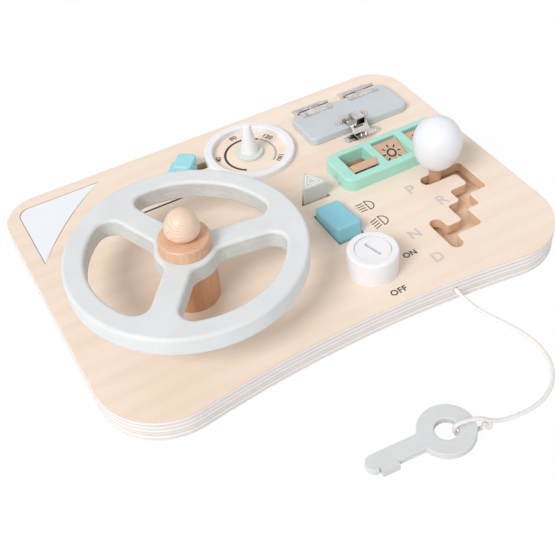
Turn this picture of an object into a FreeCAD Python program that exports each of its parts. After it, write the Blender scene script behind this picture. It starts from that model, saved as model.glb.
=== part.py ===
# Wooden busy board: a two-layer plywood panel that carries a steering wheel, a dial, a mirror,
# a hinged and latched door, three picture tiles on a rod, two switches, a key switch and a gear lever.
# Frame: X along the board, +Y to its far edge, +Z up, origin under the middle of the board.
import FreeCAD, Part
import math
import os

from FreeCAD import Vector

SIZES = {
    # board panels
    "board_length": 350, "board_depth": 253, "base_thick": 6, "panel_thick": 12,
    "far_corner": 28, "near_corner": 46, "belly_rise": 9.5,
    "screw_rad": 1.5, "screw_head": 3, "screw_inset": 22, "fit_gap": 0.05, "rest_gap": 0.3,
    # mirror
    "mirror_left": -163, "mirror_right": -97.6, "mirror_far": 116, "mirror_near": 49.7,
    "mirror_corner": 9, "mirror_bulge": 4.3, "mirror_thick": 2, "mirror_gap": 0.4,
    # steering wheel
    "wheel_x": -85.2, "wheel_y": -34.4, "wheel_rad": 80.8, "rim_width": 15, "wheel_thick": 15,
    "hub_rad": 21, "spoke_width": 18, "spoke_angle": 111.5, "spoke_fillet": 10, "wheel_round": 2.5,
    "post_rad": 18.5, "post_height": 28.3, "cap_rad": 17.4, "cap_thick": 9, "cap_round": 1.6,
    "axle_rad": 6, "axle_foot": 10, "axle_in_ball": 8, "ball_rad": 11.8, "ball_up": 14.2,
    "ball_down": 7.7, "ball_flat": 1.4,
    "turn_gap": 0.25, "axle_gap": 0.06,
    # dial
    "dial_x": 19.5, "dial_y": 82.2, "dial_rad": 36, "dial_inner": 29.5, "dial_height": 4.8,
    "dial_round": 1.2, "disc_rad": 10.7, "disc_thick": 2.7, "cone_foot": 7.2, "cone_top": 2.7,
    "cone_height": 24.5, "facet_turn": -20, "pivot_rad": 1.5, "pivot_sunk": 8,
    "pivot_rise": 7.5,
    # turn signal slider
    "signal_x": -33.5, "signal_y": 88.5, "signal_length": 15, "signal_width": 18, "signal_height": 12,
    "signal_turn": -42, "signal_round": 3.5, "lip_reach": 5.5, "lip_thick": 3, "neck_rad": 3.7,
    "groove_half": 4, "groove_left": -72, "groove_right": -18, "foot_rad": 6.5, "foot_thick": 2.6,
    "channel_deep": 4.3, "channel_gap": 0.5,
    # door, its hinges and the compartment under it
    "door_left": 65.6, "door_right": 157, "door_near": 61, "door_far": 98.5, "door_thick": 6,
    "door_corner": 6, "door_round": 1.6, "box_margin": 7, "box_corner": 5,
    "hinge_a": 75, "hinge_b": 119.5, "hinge_length": 28, "knuckle_rad": 1.6, "hinge_pin_rad": 0.8,
    "leaf_thick": 0.8, "leaf_reach": 7, "crank_reach": 11, "knuckle_out": 2.4, "knuckle_up": 0.4,
    "knuckle_gap": 0.3, "nail_rad": 0.7, "nail_head": 1.3, "nail_rise": 0.35, "nail_deep": 4,
    "nail_inset": 4,
    # latch
    "latch_x": 107, "latch_width": 15, "latch_axis_in": 7.5, "latch_axis_up": 1.7,
    "latch_barrel": 1.4, "latch_pin_rad": 0.7, "latch_plate_depth": 11,
    "lobe_rad": 3.2, "ear_thick": 1, "ear_gap": 0.5, "ear_rise": 3.4,
    "tongue_flat": 1, "tongue_fall": 6.5, "tongue_end": 13.5, "tongue_drop": 5,
    "grip_width": 9, "grip_length": 11, "grip_height": 6.8, "grip_wall": 0.9, "rivet_rad": 1.5,
    "rivet_rise": 1.3, "rivet_apart": 4.2, "strike_y": 53, "strike_width": 20, "strike_depth": 8.5,
    "strike_lobe_out": 13,
    # picture frame, rod and tiles
    "frame_left": 58.5, "frame_near": -3.8, "frame_length": 101.5, "frame_depth": 37.5,
    "frame_height": 10.5, "frame_corner": 8, "frame_round": 1.6, "window_first": 9.6,
    "window_wide": 22.3, "window_pitch": 29.3, "window_deep": 25.8, "rod_rad": 1.25,
    "rod_height": 3.5, "tile_thick": 6, "tile_depth": 23, "tile_side_gap": 0.5, "tile_turn_a": -45,
    "tile_turn_b": 20, "tile_turn_c": 17, "tile_sweep": 0.9, "notch_rad": 2.2,
    # hazard button
    "hazard_x": 34.6, "hazard_y": 10, "hazard_turn": 88, "hazard_side": 21.8,
    "hazard_rise": 13.8, "hazard_gap": 0.9,
    "flange_out": 2.2, "flange_thick": 2, "flange_room": 6,
    "spring_rad": 3.6, "spring_wire": 0.7, "spring_turns": 4, "spring_sunk": 4,
    # headlight rocker
    "rocker_x": 34, "rocker_y": -29.4, "rocker_width": 20.5, "rocker_length": 34, "rocker_top": 12.6,
    "rocker_bottom": 4, "rocker_pivot": 3, "rocker_tilt": 7.5, "rocker_dish": 1.5,
    "rocker_round": 1.4, "rocker_side_gap": 0.6, "rocker_end_gap": 1.1, "rocker_pin_rad": 1.5,
    "rocker_pin_over": 4,
    # key switch
    "start_x": 29.4, "start_y": -80.3, "start_rad": 17.8, "start_height": 19.3, "start_round": 1.6,
    "rotor_rad": 12.5, "rotor_thick": 11.5, "rotor_gap": 0.25, "keyslot_length": 14.5,
    "keyslot_width": 2.2, "keyslot_deep": 5, "keyslot_turn": -75, "start_pin_rad": 1.5,
    "start_pin_in": 6,
    # gear lever and its gate
    "gate_half": 5, "gate_pad": 3.5, "gate_corner": 2.8, "lever_x": 123, "row_p": -22.8, "row_r": -46.9,
    "row_n": -59.9, "row_d": -77.8, "end_n": -66.5, "end_d": -89.5, "col_p": 116, "col_far": 144,
    "col_r": 127.5, "col_end": 93, "stem_rad": 4.7, "lever_foot_rad": 8, "lever_foot_thick": 2.5,
    "knob_rad": 18.2, "knob_half": 21.7, "egg_rise": 0.1, "knob_middle": 31.5, "stem_in_knob": 12,
    # key, cord and knot
    "key_x": -2, "key_y": -208.7, "key_rad": 18.2, "key_hole": 7.5, "key_thick": 5.2,
    "key_length": 54.5, "shank_half": 5.8, "key_turn": 175.2, "key_tilt": 2.75, "bit_from": 36,
    "bit_to": 47.5, "bit_out": 8.6, "key_round": 0.8, "cord_dia": 2.8, "cord_hole": 1.75,
    "cord_exit_x": 70, "cord_exit_up": 10, "cord_sunk": 12, "knot_rad": 3.5,
}

# The cord's route, chosen by hand: out of the near edge, down to the floor, round to the key,
# over its ring, through its hole and back under it to the knot.
CORD_ROUTE = [
    (70.2, -128.0, 9.6), (73.5, -136.0, 5.6), (78.5, -144.5, 2.2), (84.0, -156.0, 1.45),
    (88.6, -170.0, 1.45), (90.4, -185.5, 1.45), (86.4, -200.5, 1.45), (76.5, -212.5, 1.45),
    (62.5, -219.2, 1.45), (47.5, -220.4, 1.45), (33.5, -218.6, 2.2), (25.4, -216.8, 4.8),
    (18.4, -214.2, 10.0), (10.6, -211.9, 10.8), (3.2, -210.4, 10.1), (2.0, -210.3, 5.2),
    (2.8, -211.3, 1.45), (9.5, -213.6, 1.45), (16.0, -215.4, 1.45), (21.0, -216.5, 2.8),
]

doc = FreeCAD.newDocument("BusyBoard")
sheet = doc.addObject("Spreadsheet::Sheet", "sheet")
for row, (alias, number) in enumerate(SIZES.items(), start=1):
    sheet.set("A%d" % row, alias)
    sheet.set("B%d" % row, str(number))
    sheet.setAlias("B%d" % row, alias)
doc.recompute()


def val(alias):
    """A driving dimension read from the sheet."""
    return float(sheet.get(alias))


def bind(text):
    """An expression whose bare aliases point at the sheet."""
    words, word = [], ""
    for mark in str(text) + " ":
        if mark.isalnum() or mark == "_" or (mark == "." and word and word[0].isdigit()):
            word += mark
            continue
        words.append("sheet." + word if word in SIZES else word)
        words.append(mark)
        word = ""
    return "".join(words).strip()


def place(item, x="0", y="0", z="0", turn=None):
    """Bind a piece's place to the sheet; turn is a rotation kept from the geometry."""
    if turn is not None:
        item.Placement = FreeCAD.Placement(Vector(0, 0, 0), turn)
    for letter, text in (("x", x), ("y", y), ("z", z)):
        item.setExpression(".Placement.Base." + letter, bind(text))
    return item


def box(name, length, width, height, x, y, z):
    """A block from its low corner."""
    item = doc.addObject("Part::Box", name)
    for prop, text in (("Length", length), ("Width", width), ("Height", height)):
        item.setExpression(prop, bind(text))
    return place(item, x, y, z)


ALONG_X = FreeCAD.Rotation(Vector(0, 1, 0), 90)
ALONG_Y = FreeCAD.Rotation(Vector(1, 0, 0), -90)


def rod(name, radius, height, x, y, z, turn=None):
    """A round bar from the middle of its first end."""
    item = doc.addObject("Part::Cylinder", name)
    item.setExpression("Radius", bind(radius))
    item.setExpression("Height", bind(height))
    return place(item, x, y, z, turn)


def cone(name, foot, top, height, x, y, z):
    item = doc.addObject("Part::Cone", name)
    for prop, text in (("Radius1", foot), ("Radius2", top), ("Height", height)):
        item.setExpression(prop, bind(text))
    return place(item, x, y, z)


def fuse(name, items):
    item = doc.addObject("Part::MultiFuse", name)
    item.Shapes = items
    return item


def cut(name, base, tools):
    """A base piece less one tool or the sum of several."""
    item = doc.addObject("Part::Cut", name)
    item.Base = base
    item.Tool = tools[0] if len(tools) == 1 else fuse(name + "_tools", tools)
    return item


def fillet(name, base, radius, picks):
    """Round the edges of a piece that the test picks."""
    doc.recompute()
    item = doc.addObject("Part::Fillet", name)
    item.Base = base
    item.Edges = [(i + 1, radius, radius) for i, edge in enumerate(base.Shape.Edges) if picks(edge)]
    return item


def upright(edge):
    ends = edge.BoundBox
    return ends.ZLength > 0.5 and ends.XLength < 1e-3 and ends.YLength < 1e-3


def at_height(level, keep=lambda edge: True):
    """A test for edges that lie flat at one height."""
    def test(edge):
        ends = edge.BoundBox
        return abs(ends.ZMin - level) < 1e-3 and abs(ends.ZMax - level) < 1e-3 and keep(edge)
    return test


def shaped(name, shape):
    """A piece whose form is worked out here from the sheet's values."""
    item = doc.addObject("Part::Feature", name)
    item.Shape = shape
    return item


def sketched(name, edges, height, x="0", y="0", z="0", turn=None):
    """A body padded up from one closed sketch."""
    body = doc.addObject("PartDesign::Body", name)
    plane = [o for o in body.Origin.OriginFeatures if o.Role == "XY_Plane"][0]
    sketch = body.newObject("Sketcher::SketchObject", name + "_sketch")
    sketch.AttachmentSupport = [(plane, "")]
    sketch.MapMode = "FlatFace"
    sketch.addGeometry(edges, False)
    pad = body.newObject("PartDesign::Pad", name + "_pad")
    pad.Profile = sketch
    pad.setExpression("Length", bind(height))
    place(body, x, y, z, turn)
    return body


nodes = {}


def keep(name, item):
    """Name a finished sub-part; the name becomes its file's name."""
    item.Label = name
    nodes[name] = item
    return item


TOP = "(base_thick + panel_thick)"
top = val("base_thick") + val("panel_thick")


# Board: a thin base panel under a thick top panel, one outline with a hollow near edge.
def board_edges():
    """The outline: straight far edge and ends, and a near edge bowed in between two big corners."""
    side, deep = val("board_length") / 2, val("board_depth") / 2
    far, near, rise = val("far_corner"), val("near_corner"), val("belly_rise")
    near_x, near_y = side - near, near - deep
    below = near - rise
    bow = (near_x ** 2 + below ** 2 - near ** 2) / (2 * (near - below))
    bow_y = rise - deep - bow
    touch = Vector(near_x, near_y, 0) + Vector(-near_x, bow_y - near_y, 0).normalize() * near
    half = math.cos(math.radians(45))
    way = math.atan2(touch.y - near_y, touch.x - near_x) / 2
    edges = [Part.LineSegment(Vector(far - side, deep, 0), Vector(side - far, deep, 0))]
    for flip in (-1, 1):
        edges.append(Part.Arc(Vector(flip * (side - far), deep, 0),
                              Vector(flip * (side - far + far * half), deep - far + far * half, 0),
                              Vector(flip * side, deep - far, 0)))
        edges.append(Part.LineSegment(Vector(flip * side, deep - far, 0),
                                      Vector(flip * side, near_y, 0)))
        edges.append(Part.Arc(Vector(flip * side, near_y, 0),
                              Vector(flip * (near_x + near * math.cos(way)),
                                     near_y + near * math.sin(way), 0),
                              Vector(flip * touch.x, touch.y, 0)))
    edges.append(Part.Arc(Vector(-touch.x, touch.y, 0), Vector(0, rise - deep, 0), touch))
    return edges


def panel(name, thick, z):
    """One plywood layer of the board."""
    return sketched(name, board_edges(), thick, z=z)


screw_x = ["-board_length / 2 + screw_inset", "0", "board_length / 2 - screw_inset"]
screw_y = ["-board_depth / 2 + screw_inset + belly_rise", "board_depth / 2 - screw_inset / 3"]
screw_spots = [(x, y) for x in screw_x for y in screw_y]
screws, screw_holes = [], []
for i, (x, y) in enumerate(screw_spots):
    for group, gap, tag in ((screws, "0", "screw"), (screw_holes, "fit_gap", "screw_hole")):
        shank = rod("%s_shank_%d" % (tag, i), "screw_rad + " + gap, "base_thick + 8", x, y, "0.2")
        head = cone("%s_head_%d" % (tag, i), "screw_head + " + gap, "screw_rad + " + gap,
                    "screw_head - screw_rad", x, y, "0.2" if gap == "0" else "0.2 - fit_gap")
        group.append(fuse("%s_%d" % (tag, i), [shank, head]))
keep("panel_screws", fuse("screw_set", screws))

spring_well = rod("spring_well", "spring_rad + spring_wire + 0.4", "spring_sunk + 1", "hazard_x",
                  "hazard_y", "base_thick - spring_sunk")
screw_mouths = [rod("screw_mouth_%d" % i, "screw_head + fit_gap", "1", x, y, "-0.8")
                for i, (x, y) in enumerate(screw_spots)]
base_cut = cut("base_cut", panel("base", "base_thick", "0"), screw_holes + screw_mouths + [spring_well])
keep("base_panel", base_cut)


# Mirror: a plastic sheet let into the top, with one round corner and one long hollow side.
def mirror_outline(grow):
    """The mirror's edges, or its recess's when grown by a gap."""
    left, right = val("mirror_left") - grow, val("mirror_right") + grow * 2
    far, near = val("mirror_far") + grow, val("mirror_near") - grow * 2
    corner = val("mirror_corner")
    bend = corner * (1 - math.cos(math.radians(45)))
    middle = Vector((left + right) / 2, (far + near) / 2, 0)
    out = Vector(-1, 1, 0).normalize()
    bulge = middle + out * (val("mirror_bulge") - grow)
    return [
        Part.LineSegment(Vector(right, far, 0), Vector(left + corner, far, 0)),
        Part.Arc(Vector(left + corner, far, 0), Vector(left + bend, far - bend, 0),
                 Vector(left, far - corner, 0)),
        Part.LineSegment(Vector(left, far - corner, 0), Vector(left, near, 0)),
        Part.Arc(Vector(left, near, 0), bulge, Vector(right, far, 0)),
    ]


mirror = sketched("mirror_sheet", mirror_outline(0), "mirror_thick", z=TOP + " - mirror_thick - 0.2")
keep("mirror", mirror)
mirror_bed = sketched("mirror_bed", mirror_outline(val("mirror_gap")), "mirror_thick + 1",
                      z=TOP + " - mirror_thick - 0.2")


# Gear gate: a zigzag slot for the lever, over a wider channel for its foot.
def gate(name, half, z, height):
    """The zigzag path swept at one half width."""
    path = [("col_p", "row_p"), ("col_far", "row_p"), ("col_far", "row_r"), ("col_r", "row_r"),
            ("col_r", "row_n"), ("col_p", "row_n"), ("col_p", "row_d"), ("col_end", "row_d")]
    runs = list(zip(path, path[1:])) + [(("col_end", "end_n"), ("col_end", "end_d"))]
    parts = []
    for i, ((ax, ay), (bx, by)) in enumerate(runs):
        low_x, high_x = sorted((ax, bx), key=val)
        low_y, high_y = sorted((ay, by), key=val)
        long_x = "%s - %s + 2 * %s" % (high_x, low_x, half) if ax != bx else "2 * " + half
        long_y = "%s - %s + 2 * %s" % (high_y, low_y, half) if ay != by else "2 * " + half
        start_y = "%s - %s" % (low_y, half)
        if ay == "end_n":
            long_y = "end_n - end_d"
            start_y = "end_d"
        parts.append(box("%s_run_%d" % (name, i), long_x, long_y, height,
                         "%s - %s" % (low_x, half), start_y, z))
    for x, y in (("col_end", "end_n"), ("col_end", "end_d")):
        parts.append(rod("%s_end_%s" % (name, y), half, height, x, y, z))
    square = parts[0]
    square.setExpression("Length", bind("col_far - col_p + " + half))
    square.setExpression(".Placement.Base.x", bind("col_p"))
    parts.append(rod(name + "_end_p", half, height, "col_p", "row_p", z))
    path_sum = fuse(name, parts)
    path_sum.Refine = True
    return path_sum


gate_sharp = gate("gate_sharp", "gate_half", "base_thick", "panel_thick + 1")


def square_corner(edge):
    """An upright edge between two flat walls."""
    walls = gate_sharp.Shape.ancestorsOfType(edge, Part.Face)
    return upright(edge) and all(w.Surface.TypeId == "Part::GeomPlane" for w in walls)


gate_slot = fillet("gate_slot", gate_sharp, val("gate_corner"), square_corner)
gate_channel = gate("gate_channel", "(gate_half + gate_pad)", "base_thick - 1", "channel_deep + 1")


# Turn signal groove: straight, with a wider channel below.
def groove(name, half, z, height):
    run = box(name + "_run", "groove_right - groove_left", "2 * " + half, height, "groove_left",
              "signal_y - " + half, z)
    ends = [rod("%s_%s" % (name, x), half, height, x, "signal_y", z)
            for x in ("groove_left", "groove_right")]
    return fuse(name, [run] + ends)


signal_groove = groove("signal_groove", "groove_half", "base_thick", "panel_thick + 1")
signal_channel = groove("signal_channel", "(foot_rad + channel_gap)", "base_thick - 1",
                        "channel_deep + 1")


# Hazard button hole: a triangle, with a wider room below for the flange.
HAZARD_AROUND = "hazard_side / sqrt(3)"


def triangle(name, grow, z, height):
    """A three-sided prism that points to the far edge."""
    item = doc.addObject("Part::Prism", name)
    item.Polygon = 3
    item.setExpression("Circumradius", bind("%s + 2 * (%s)" % (HAZARD_AROUND, grow)))
    item.setExpression("Height", bind(height))
    return place(item, "hazard_x", "hazard_y", z,
                 FreeCAD.Rotation(Vector(0, 0, 1), val("hazard_turn")))


hazard_hole = triangle("hazard_hole", "hazard_gap", "base_thick", "panel_thick + 1")
hazard_room = triangle("hazard_room", "flange_out + 0.6", "base_thick - 1", "flange_room + 1")

# Headlight rocker hole and its pin's bore.
rocker_hole = box("rocker_hole", "rocker_width + 2 * rocker_side_gap",
                  "rocker_length + 2 * rocker_end_gap", "panel_thick + 1",
                  "rocker_x - rocker_width / 2 - rocker_side_gap",
                  "rocker_y - rocker_length / 2 - rocker_end_gap", "base_thick - 0.5")
rocker_bore = rod("rocker_bore", "rocker_pin_rad + fit_gap",
                  "rocker_width + 2 * rocker_pin_over + 0.4",
                  "rocker_x - rocker_width / 2 - rocker_pin_over - 0.2", "rocker_y",
                  TOP + " - rocker_pivot", ALONG_X)

# Compartment under the door.
store = box("store_plain", "door_right - door_left - 2 * box_margin",
            "door_far - door_near - box_margin", "panel_thick + 2", "door_left + box_margin",
            "door_near + box_margin / 2", "base_thick - 1")
store_room = fillet("store_room", store, val("box_corner"), upright)

tile_pocket = box("tile_pocket", "2 * window_pitch + window_wide", "window_deep", "panel_thick",
                  "frame_left + window_first", "frame_near + (frame_depth - window_deep) / 2",
                  TOP + " + rod_height - tile_depth / 2 - tile_sweep")
axle_socket = rod("axle_socket", "axle_rad + fit_gap", "axle_foot + 1", "wheel_x", "wheel_y",
                  TOP + " - axle_foot")
pivot_socket = rod("pivot_socket", "pivot_rad + fit_gap", "pivot_sunk + 1", "dial_x", "dial_y",
                   TOP + " - pivot_sunk")
start_socket = rod("start_socket", "start_pin_rad + fit_gap", "panel_thick", "start_x", "start_y",
                   "base_thick + 4")
cord_socket = rod("cord_socket", "cord_hole", "cord_sunk + 12", "cord_exit_x",
                  "-board_depth / 2 - 4", "cord_exit_up", ALONG_Y)
top_rough = cut("top_rough", panel("top", "panel_thick", "base_thick"),
                screw_holes + [mirror_bed, gate_slot, gate_channel, signal_groove, signal_channel,
                               hazard_hole, hazard_room, rocker_hole, rocker_bore, store_room,
                               tile_pocket, axle_socket, pivot_socket, start_socket, cord_socket])
keep("top_panel", top_rough)

# Steering wheel: a beech post, a painted wheel that turns on a glued axle, a cap and a ball.
WHEEL_LOW = "(" + TOP + " + post_height + turn_gap)"
wheel_low = top + val("post_height") + val("turn_gap")
CAP_LOW = "(" + WHEEL_LOW + " + wheel_thick + turn_gap)"
BALL_LOW = "(" + CAP_LOW + " + cap_thick)"
post = cut("post_cut", rod("post_bar", "post_rad", "post_height", "wheel_x", "wheel_y", TOP),
           [rod("post_bore", "axle_rad + fit_gap", "post_height + 2", "wheel_x", "wheel_y",
                TOP + " - 1")])
keep("steering_post", post)
keep("steering_axle", rod("axle_bar", "axle_rad", "%s - %s + axle_foot + axle_in_ball" % (BALL_LOW, TOP),
                          "wheel_x", "wheel_y", TOP + " - axle_foot"))

wheel_disc = rod("wheel_disc", "wheel_rad", "wheel_thick", "wheel_x", "wheel_y", WHEEL_LOW)
open_ring = cut("open_ring", rod("open_disc", "wheel_rad - rim_width", "wheel_thick + 2", "wheel_x",
                                 "wheel_y", WHEEL_LOW + " - 1"),
                [rod("hub_disc", "hub_rad", "wheel_thick + 4", "wheel_x", "wheel_y",
                     WHEEL_LOW + " - 2")])
spokes = []
for i in range(3):
    angle = val("spoke_angle") + 120 * i
    across = angle - 90
    spoke = box("spoke_%d" % i, "wheel_rad", "spoke_width", "wheel_thick + 4", "0", "0", "0")
    spoke.Placement = FreeCAD.Placement(Vector(0, 0, 0), FreeCAD.Rotation(Vector(0, 0, 1), angle))
    place(spoke, "wheel_x + spoke_width / 2 * %.12f" % -math.cos(math.radians(angle + 90)),
          "wheel_y + spoke_width / 2 * %.12f" % -math.sin(math.radians(angle + 90)),
          WHEEL_LOW + " - 2", FreeCAD.Rotation(Vector(0, 0, 1), angle))
    spokes.append(spoke)
open_parts = cut("open_parts", open_ring, spokes)
openings = fillet("openings", open_parts, val("spoke_fillet"), upright)
wheel_open = cut("wheel_open", wheel_disc, [openings, rod("wheel_bore", "axle_rad + axle_gap",
                                                          "wheel_thick + 2", "wheel_x", "wheel_y",
                                                          WHEEL_LOW + " - 1")])


def big_edge(edge):
    """Every outline edge of the wheel except its bore."""
    return not (edge.Curve.TypeId == "Part::GeomCircle" and edge.Curve.Radius < val("axle_rad") + 1)


wheel_high = wheel_low + val("wheel_thick")
wheel = fillet("wheel_round_edges", wheel_open, val("wheel_round"),
               lambda e: (at_height(wheel_low)(e) or at_height(wheel_high)(e)) and big_edge(e))
keep("steering_wheel", wheel)

cap_bar = rod("cap_bar", "cap_rad", "cap_thick", "wheel_x", "wheel_y", CAP_LOW)
cap_low = wheel_high + val("turn_gap")
cap_rounded = fillet("cap_rounded", cap_bar, val("cap_round"), at_height(cap_low + val("cap_thick")))
keep("steering_cap", cut("cap_cut", cap_rounded,
                         [rod("cap_bore", "axle_rad + fit_gap", "cap_thick + 2", "wheel_x",
                              "wheel_y", CAP_LOW + " - 1")]))


def turned_egg(rad, up, down, middle):
    """Two half balls stretched along their axis; middle is the height of the widest circle."""
    halves = []
    for low, high, reach in ((-90, 0, down), (0, 90, up)):
        stretch = FreeCAD.Matrix()
        stretch.A33 = reach / rad
        part = Part.makeSphere(rad, Vector(0, 0, 0), Vector(0, 0, 1), low, high, 360)
        part = part.transformGeometry(stretch)
        part.translate(Vector(0, 0, middle))
        halves.append(part)
    return halves[0].fuse(halves[1])


def ball_solid():
    """A turned knob, fuller below than above and cut flat where it sits on the cap."""
    rad = val("ball_rad")
    whole = turned_egg(rad, val("ball_up"), val("ball_down"), val("ball_down") - val("ball_flat"))
    return whole.cut(Part.makeBox(4 * rad, 4 * rad, rad, Vector(-2 * rad, -2 * rad, -rad)))


ball = place(shaped("ball_solid", ball_solid()), "wheel_x", "wheel_y", BALL_LOW)
keep("steering_knob", cut("ball_cut", ball, [rod("ball_bore", "axle_rad + fit_gap",
                                                "axle_in_ball + 1.1", "wheel_x", "wheel_y",
                                                BALL_LOW + " - 1")]))

# Dial: a painted ring, a small disc and a tapered finger knob that turn on a pin.
ring_bar = rod("ring_bar", "dial_rad", "dial_height", "dial_x", "dial_y", TOP)
ring_open = cut("ring_open", ring_bar, [rod("ring_bore", "dial_inner", "dial_height + 2", "dial_x",
                                           "dial_y", TOP + " - 1")])
keep("dial_ring", fillet("ring_round", ring_open, val("dial_round"),
                         at_height(top + val("dial_height"))))
keep("dial_pivot", rod("pivot_bar", "pivot_rad", "pivot_sunk + rest_gap + disc_thick + pivot_rise",
                       "dial_x", "dial_y", TOP + " - pivot_sunk"))
DISC_LOW = "(" + TOP + " + rest_gap)"
disc_bar = rod("disc_bar", "disc_rad", "disc_thick", "dial_x", "dial_y", DISC_LOW)
disc_round = fillet("disc_round", disc_bar, 0.7, at_height(top + val("rest_gap") + val("disc_thick")))
keep("dial_disc", cut("disc_cut", disc_round,
                      [rod("disc_bore", "pivot_rad + fit_gap", "disc_thick + 2", "dial_x",
                           "dial_y", DISC_LOW + " - 1")]))
CONE_LOW = "(" + DISC_LOW + " + disc_thick)"
cone_bar = cone("cone_bar", "cone_foot", "cone_top", "cone_height", "dial_x", "dial_y", CONE_LOW)
cone_high = top + val("rest_gap") + val("disc_thick") + val("cone_height")
cone_round = fillet("cone_round", cone_bar, 1.1, at_height(cone_high))
facet = box("facet", "20", "40", "60", "0", "0", "0")
facet_turn = FreeCAD.Rotation(Vector(0, 0, 1), val("facet_turn")).multiply(
    FreeCAD.Rotation(Vector(0, 1, 0), -math.degrees(math.atan(
        (val("cone_foot") - val("cone_top") - 0.9) / val("cone_height")))))
facet_out = val("cone_foot") - 0.2
facet_way = math.radians(val("facet_turn"))
facet_side = Vector(-math.sin(facet_way), math.cos(facet_way), 0) * 20
place(facet, "dial_x + %.12f" % (facet_out * math.cos(facet_way) - facet_side.x),
      "dial_y + %.12f" % (facet_out * math.sin(facet_way) - facet_side.y), CONE_LOW, facet_turn)
keep("dial_cone", cut("cone_cut", cone_round,
                      [facet, rod("cone_bore", "pivot_rad + fit_gap", "pivot_rise + 1.2", "dial_x",
                                  "dial_y", CONE_LOW + " - 1")]))

# Turn signal: a turquoise block with a lip to the left, and a neck and a foot that hold it in its
# groove.
turned = FreeCAD.Rotation(Vector(0, 0, 1), val("signal_turn"))
SIGNAL_LOW = "(" + TOP + " + rest_gap)"


def turned_block(name, length, width, height, z, round_rad, behind=0):
    """A block with round corners, turned about the slider's middle; behind moves it to the left."""
    away = turned.multVec(Vector(-length / 2 - behind, -width / 2, 0))
    block = box(name + "_block", str(length), str(width), height, "0", "0", "0")
    place(block, "signal_x + %.12f" % away.x, "signal_y + %.12f" % away.y, z, turned)
    return fillet(name, block, round_rad, upright)


lip = turned_block("signal_lip", val("signal_length") + val("lip_reach") - 1,
                   val("signal_width") - 1, "lip_thick", SIGNAL_LOW, val("signal_round"),
                   (val("lip_reach") + 1) / 2)
thumb = turned_block("signal_thumb", val("signal_length"), val("signal_width"),
                     "signal_height - rest_gap", SIGNAL_LOW, val("signal_round"))
thumb_soft = fillet("signal_thumb_soft", thumb, 1.4, at_height(top + val("signal_height")))
FOOT_LOW = "(base_thick + rest_gap)"
neck = rod("signal_neck", "neck_rad", "%s - %s + 1" % (SIGNAL_LOW, FOOT_LOW), "signal_x", "signal_y",
           FOOT_LOW)
keep("signal_knob", fuse("signal_sum", [lip, thumb_soft, neck]))
keep("signal_foot", cut("signal_foot_cut",
                        rod("signal_foot_bar", "foot_rad", "foot_thick", "signal_x", "signal_y",
                            FOOT_LOW),
                        [rod("signal_foot_bore", "neck_rad + fit_gap", "foot_thick + 2",
                             "signal_x", "signal_y", FOOT_LOW + " - 1")]))

# Door: a painted slab on two butt hinges, whose board leaves are cranked down to the panel.
DOOR_LOW = "(" + TOP + " + rest_gap)"
DOOR_HIGH = "(" + DOOR_LOW + " + door_thick)"
door_high = top + val("rest_gap") + val("door_thick")
AXIS_Y = "(door_far + knuckle_out)"
AXIS_Z = "(" + DOOR_HIGH + " + knuckle_up)"
slab = box("slab", "door_right - door_left", "door_far - door_near", "door_thick", "door_left",
           "door_near", DOOR_LOW)
slab_round = fillet("slab_round", slab, val("door_corner"), upright)
door_soft = fillet("door_soft", slab_round, val("door_round"), at_height(door_high))

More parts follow.
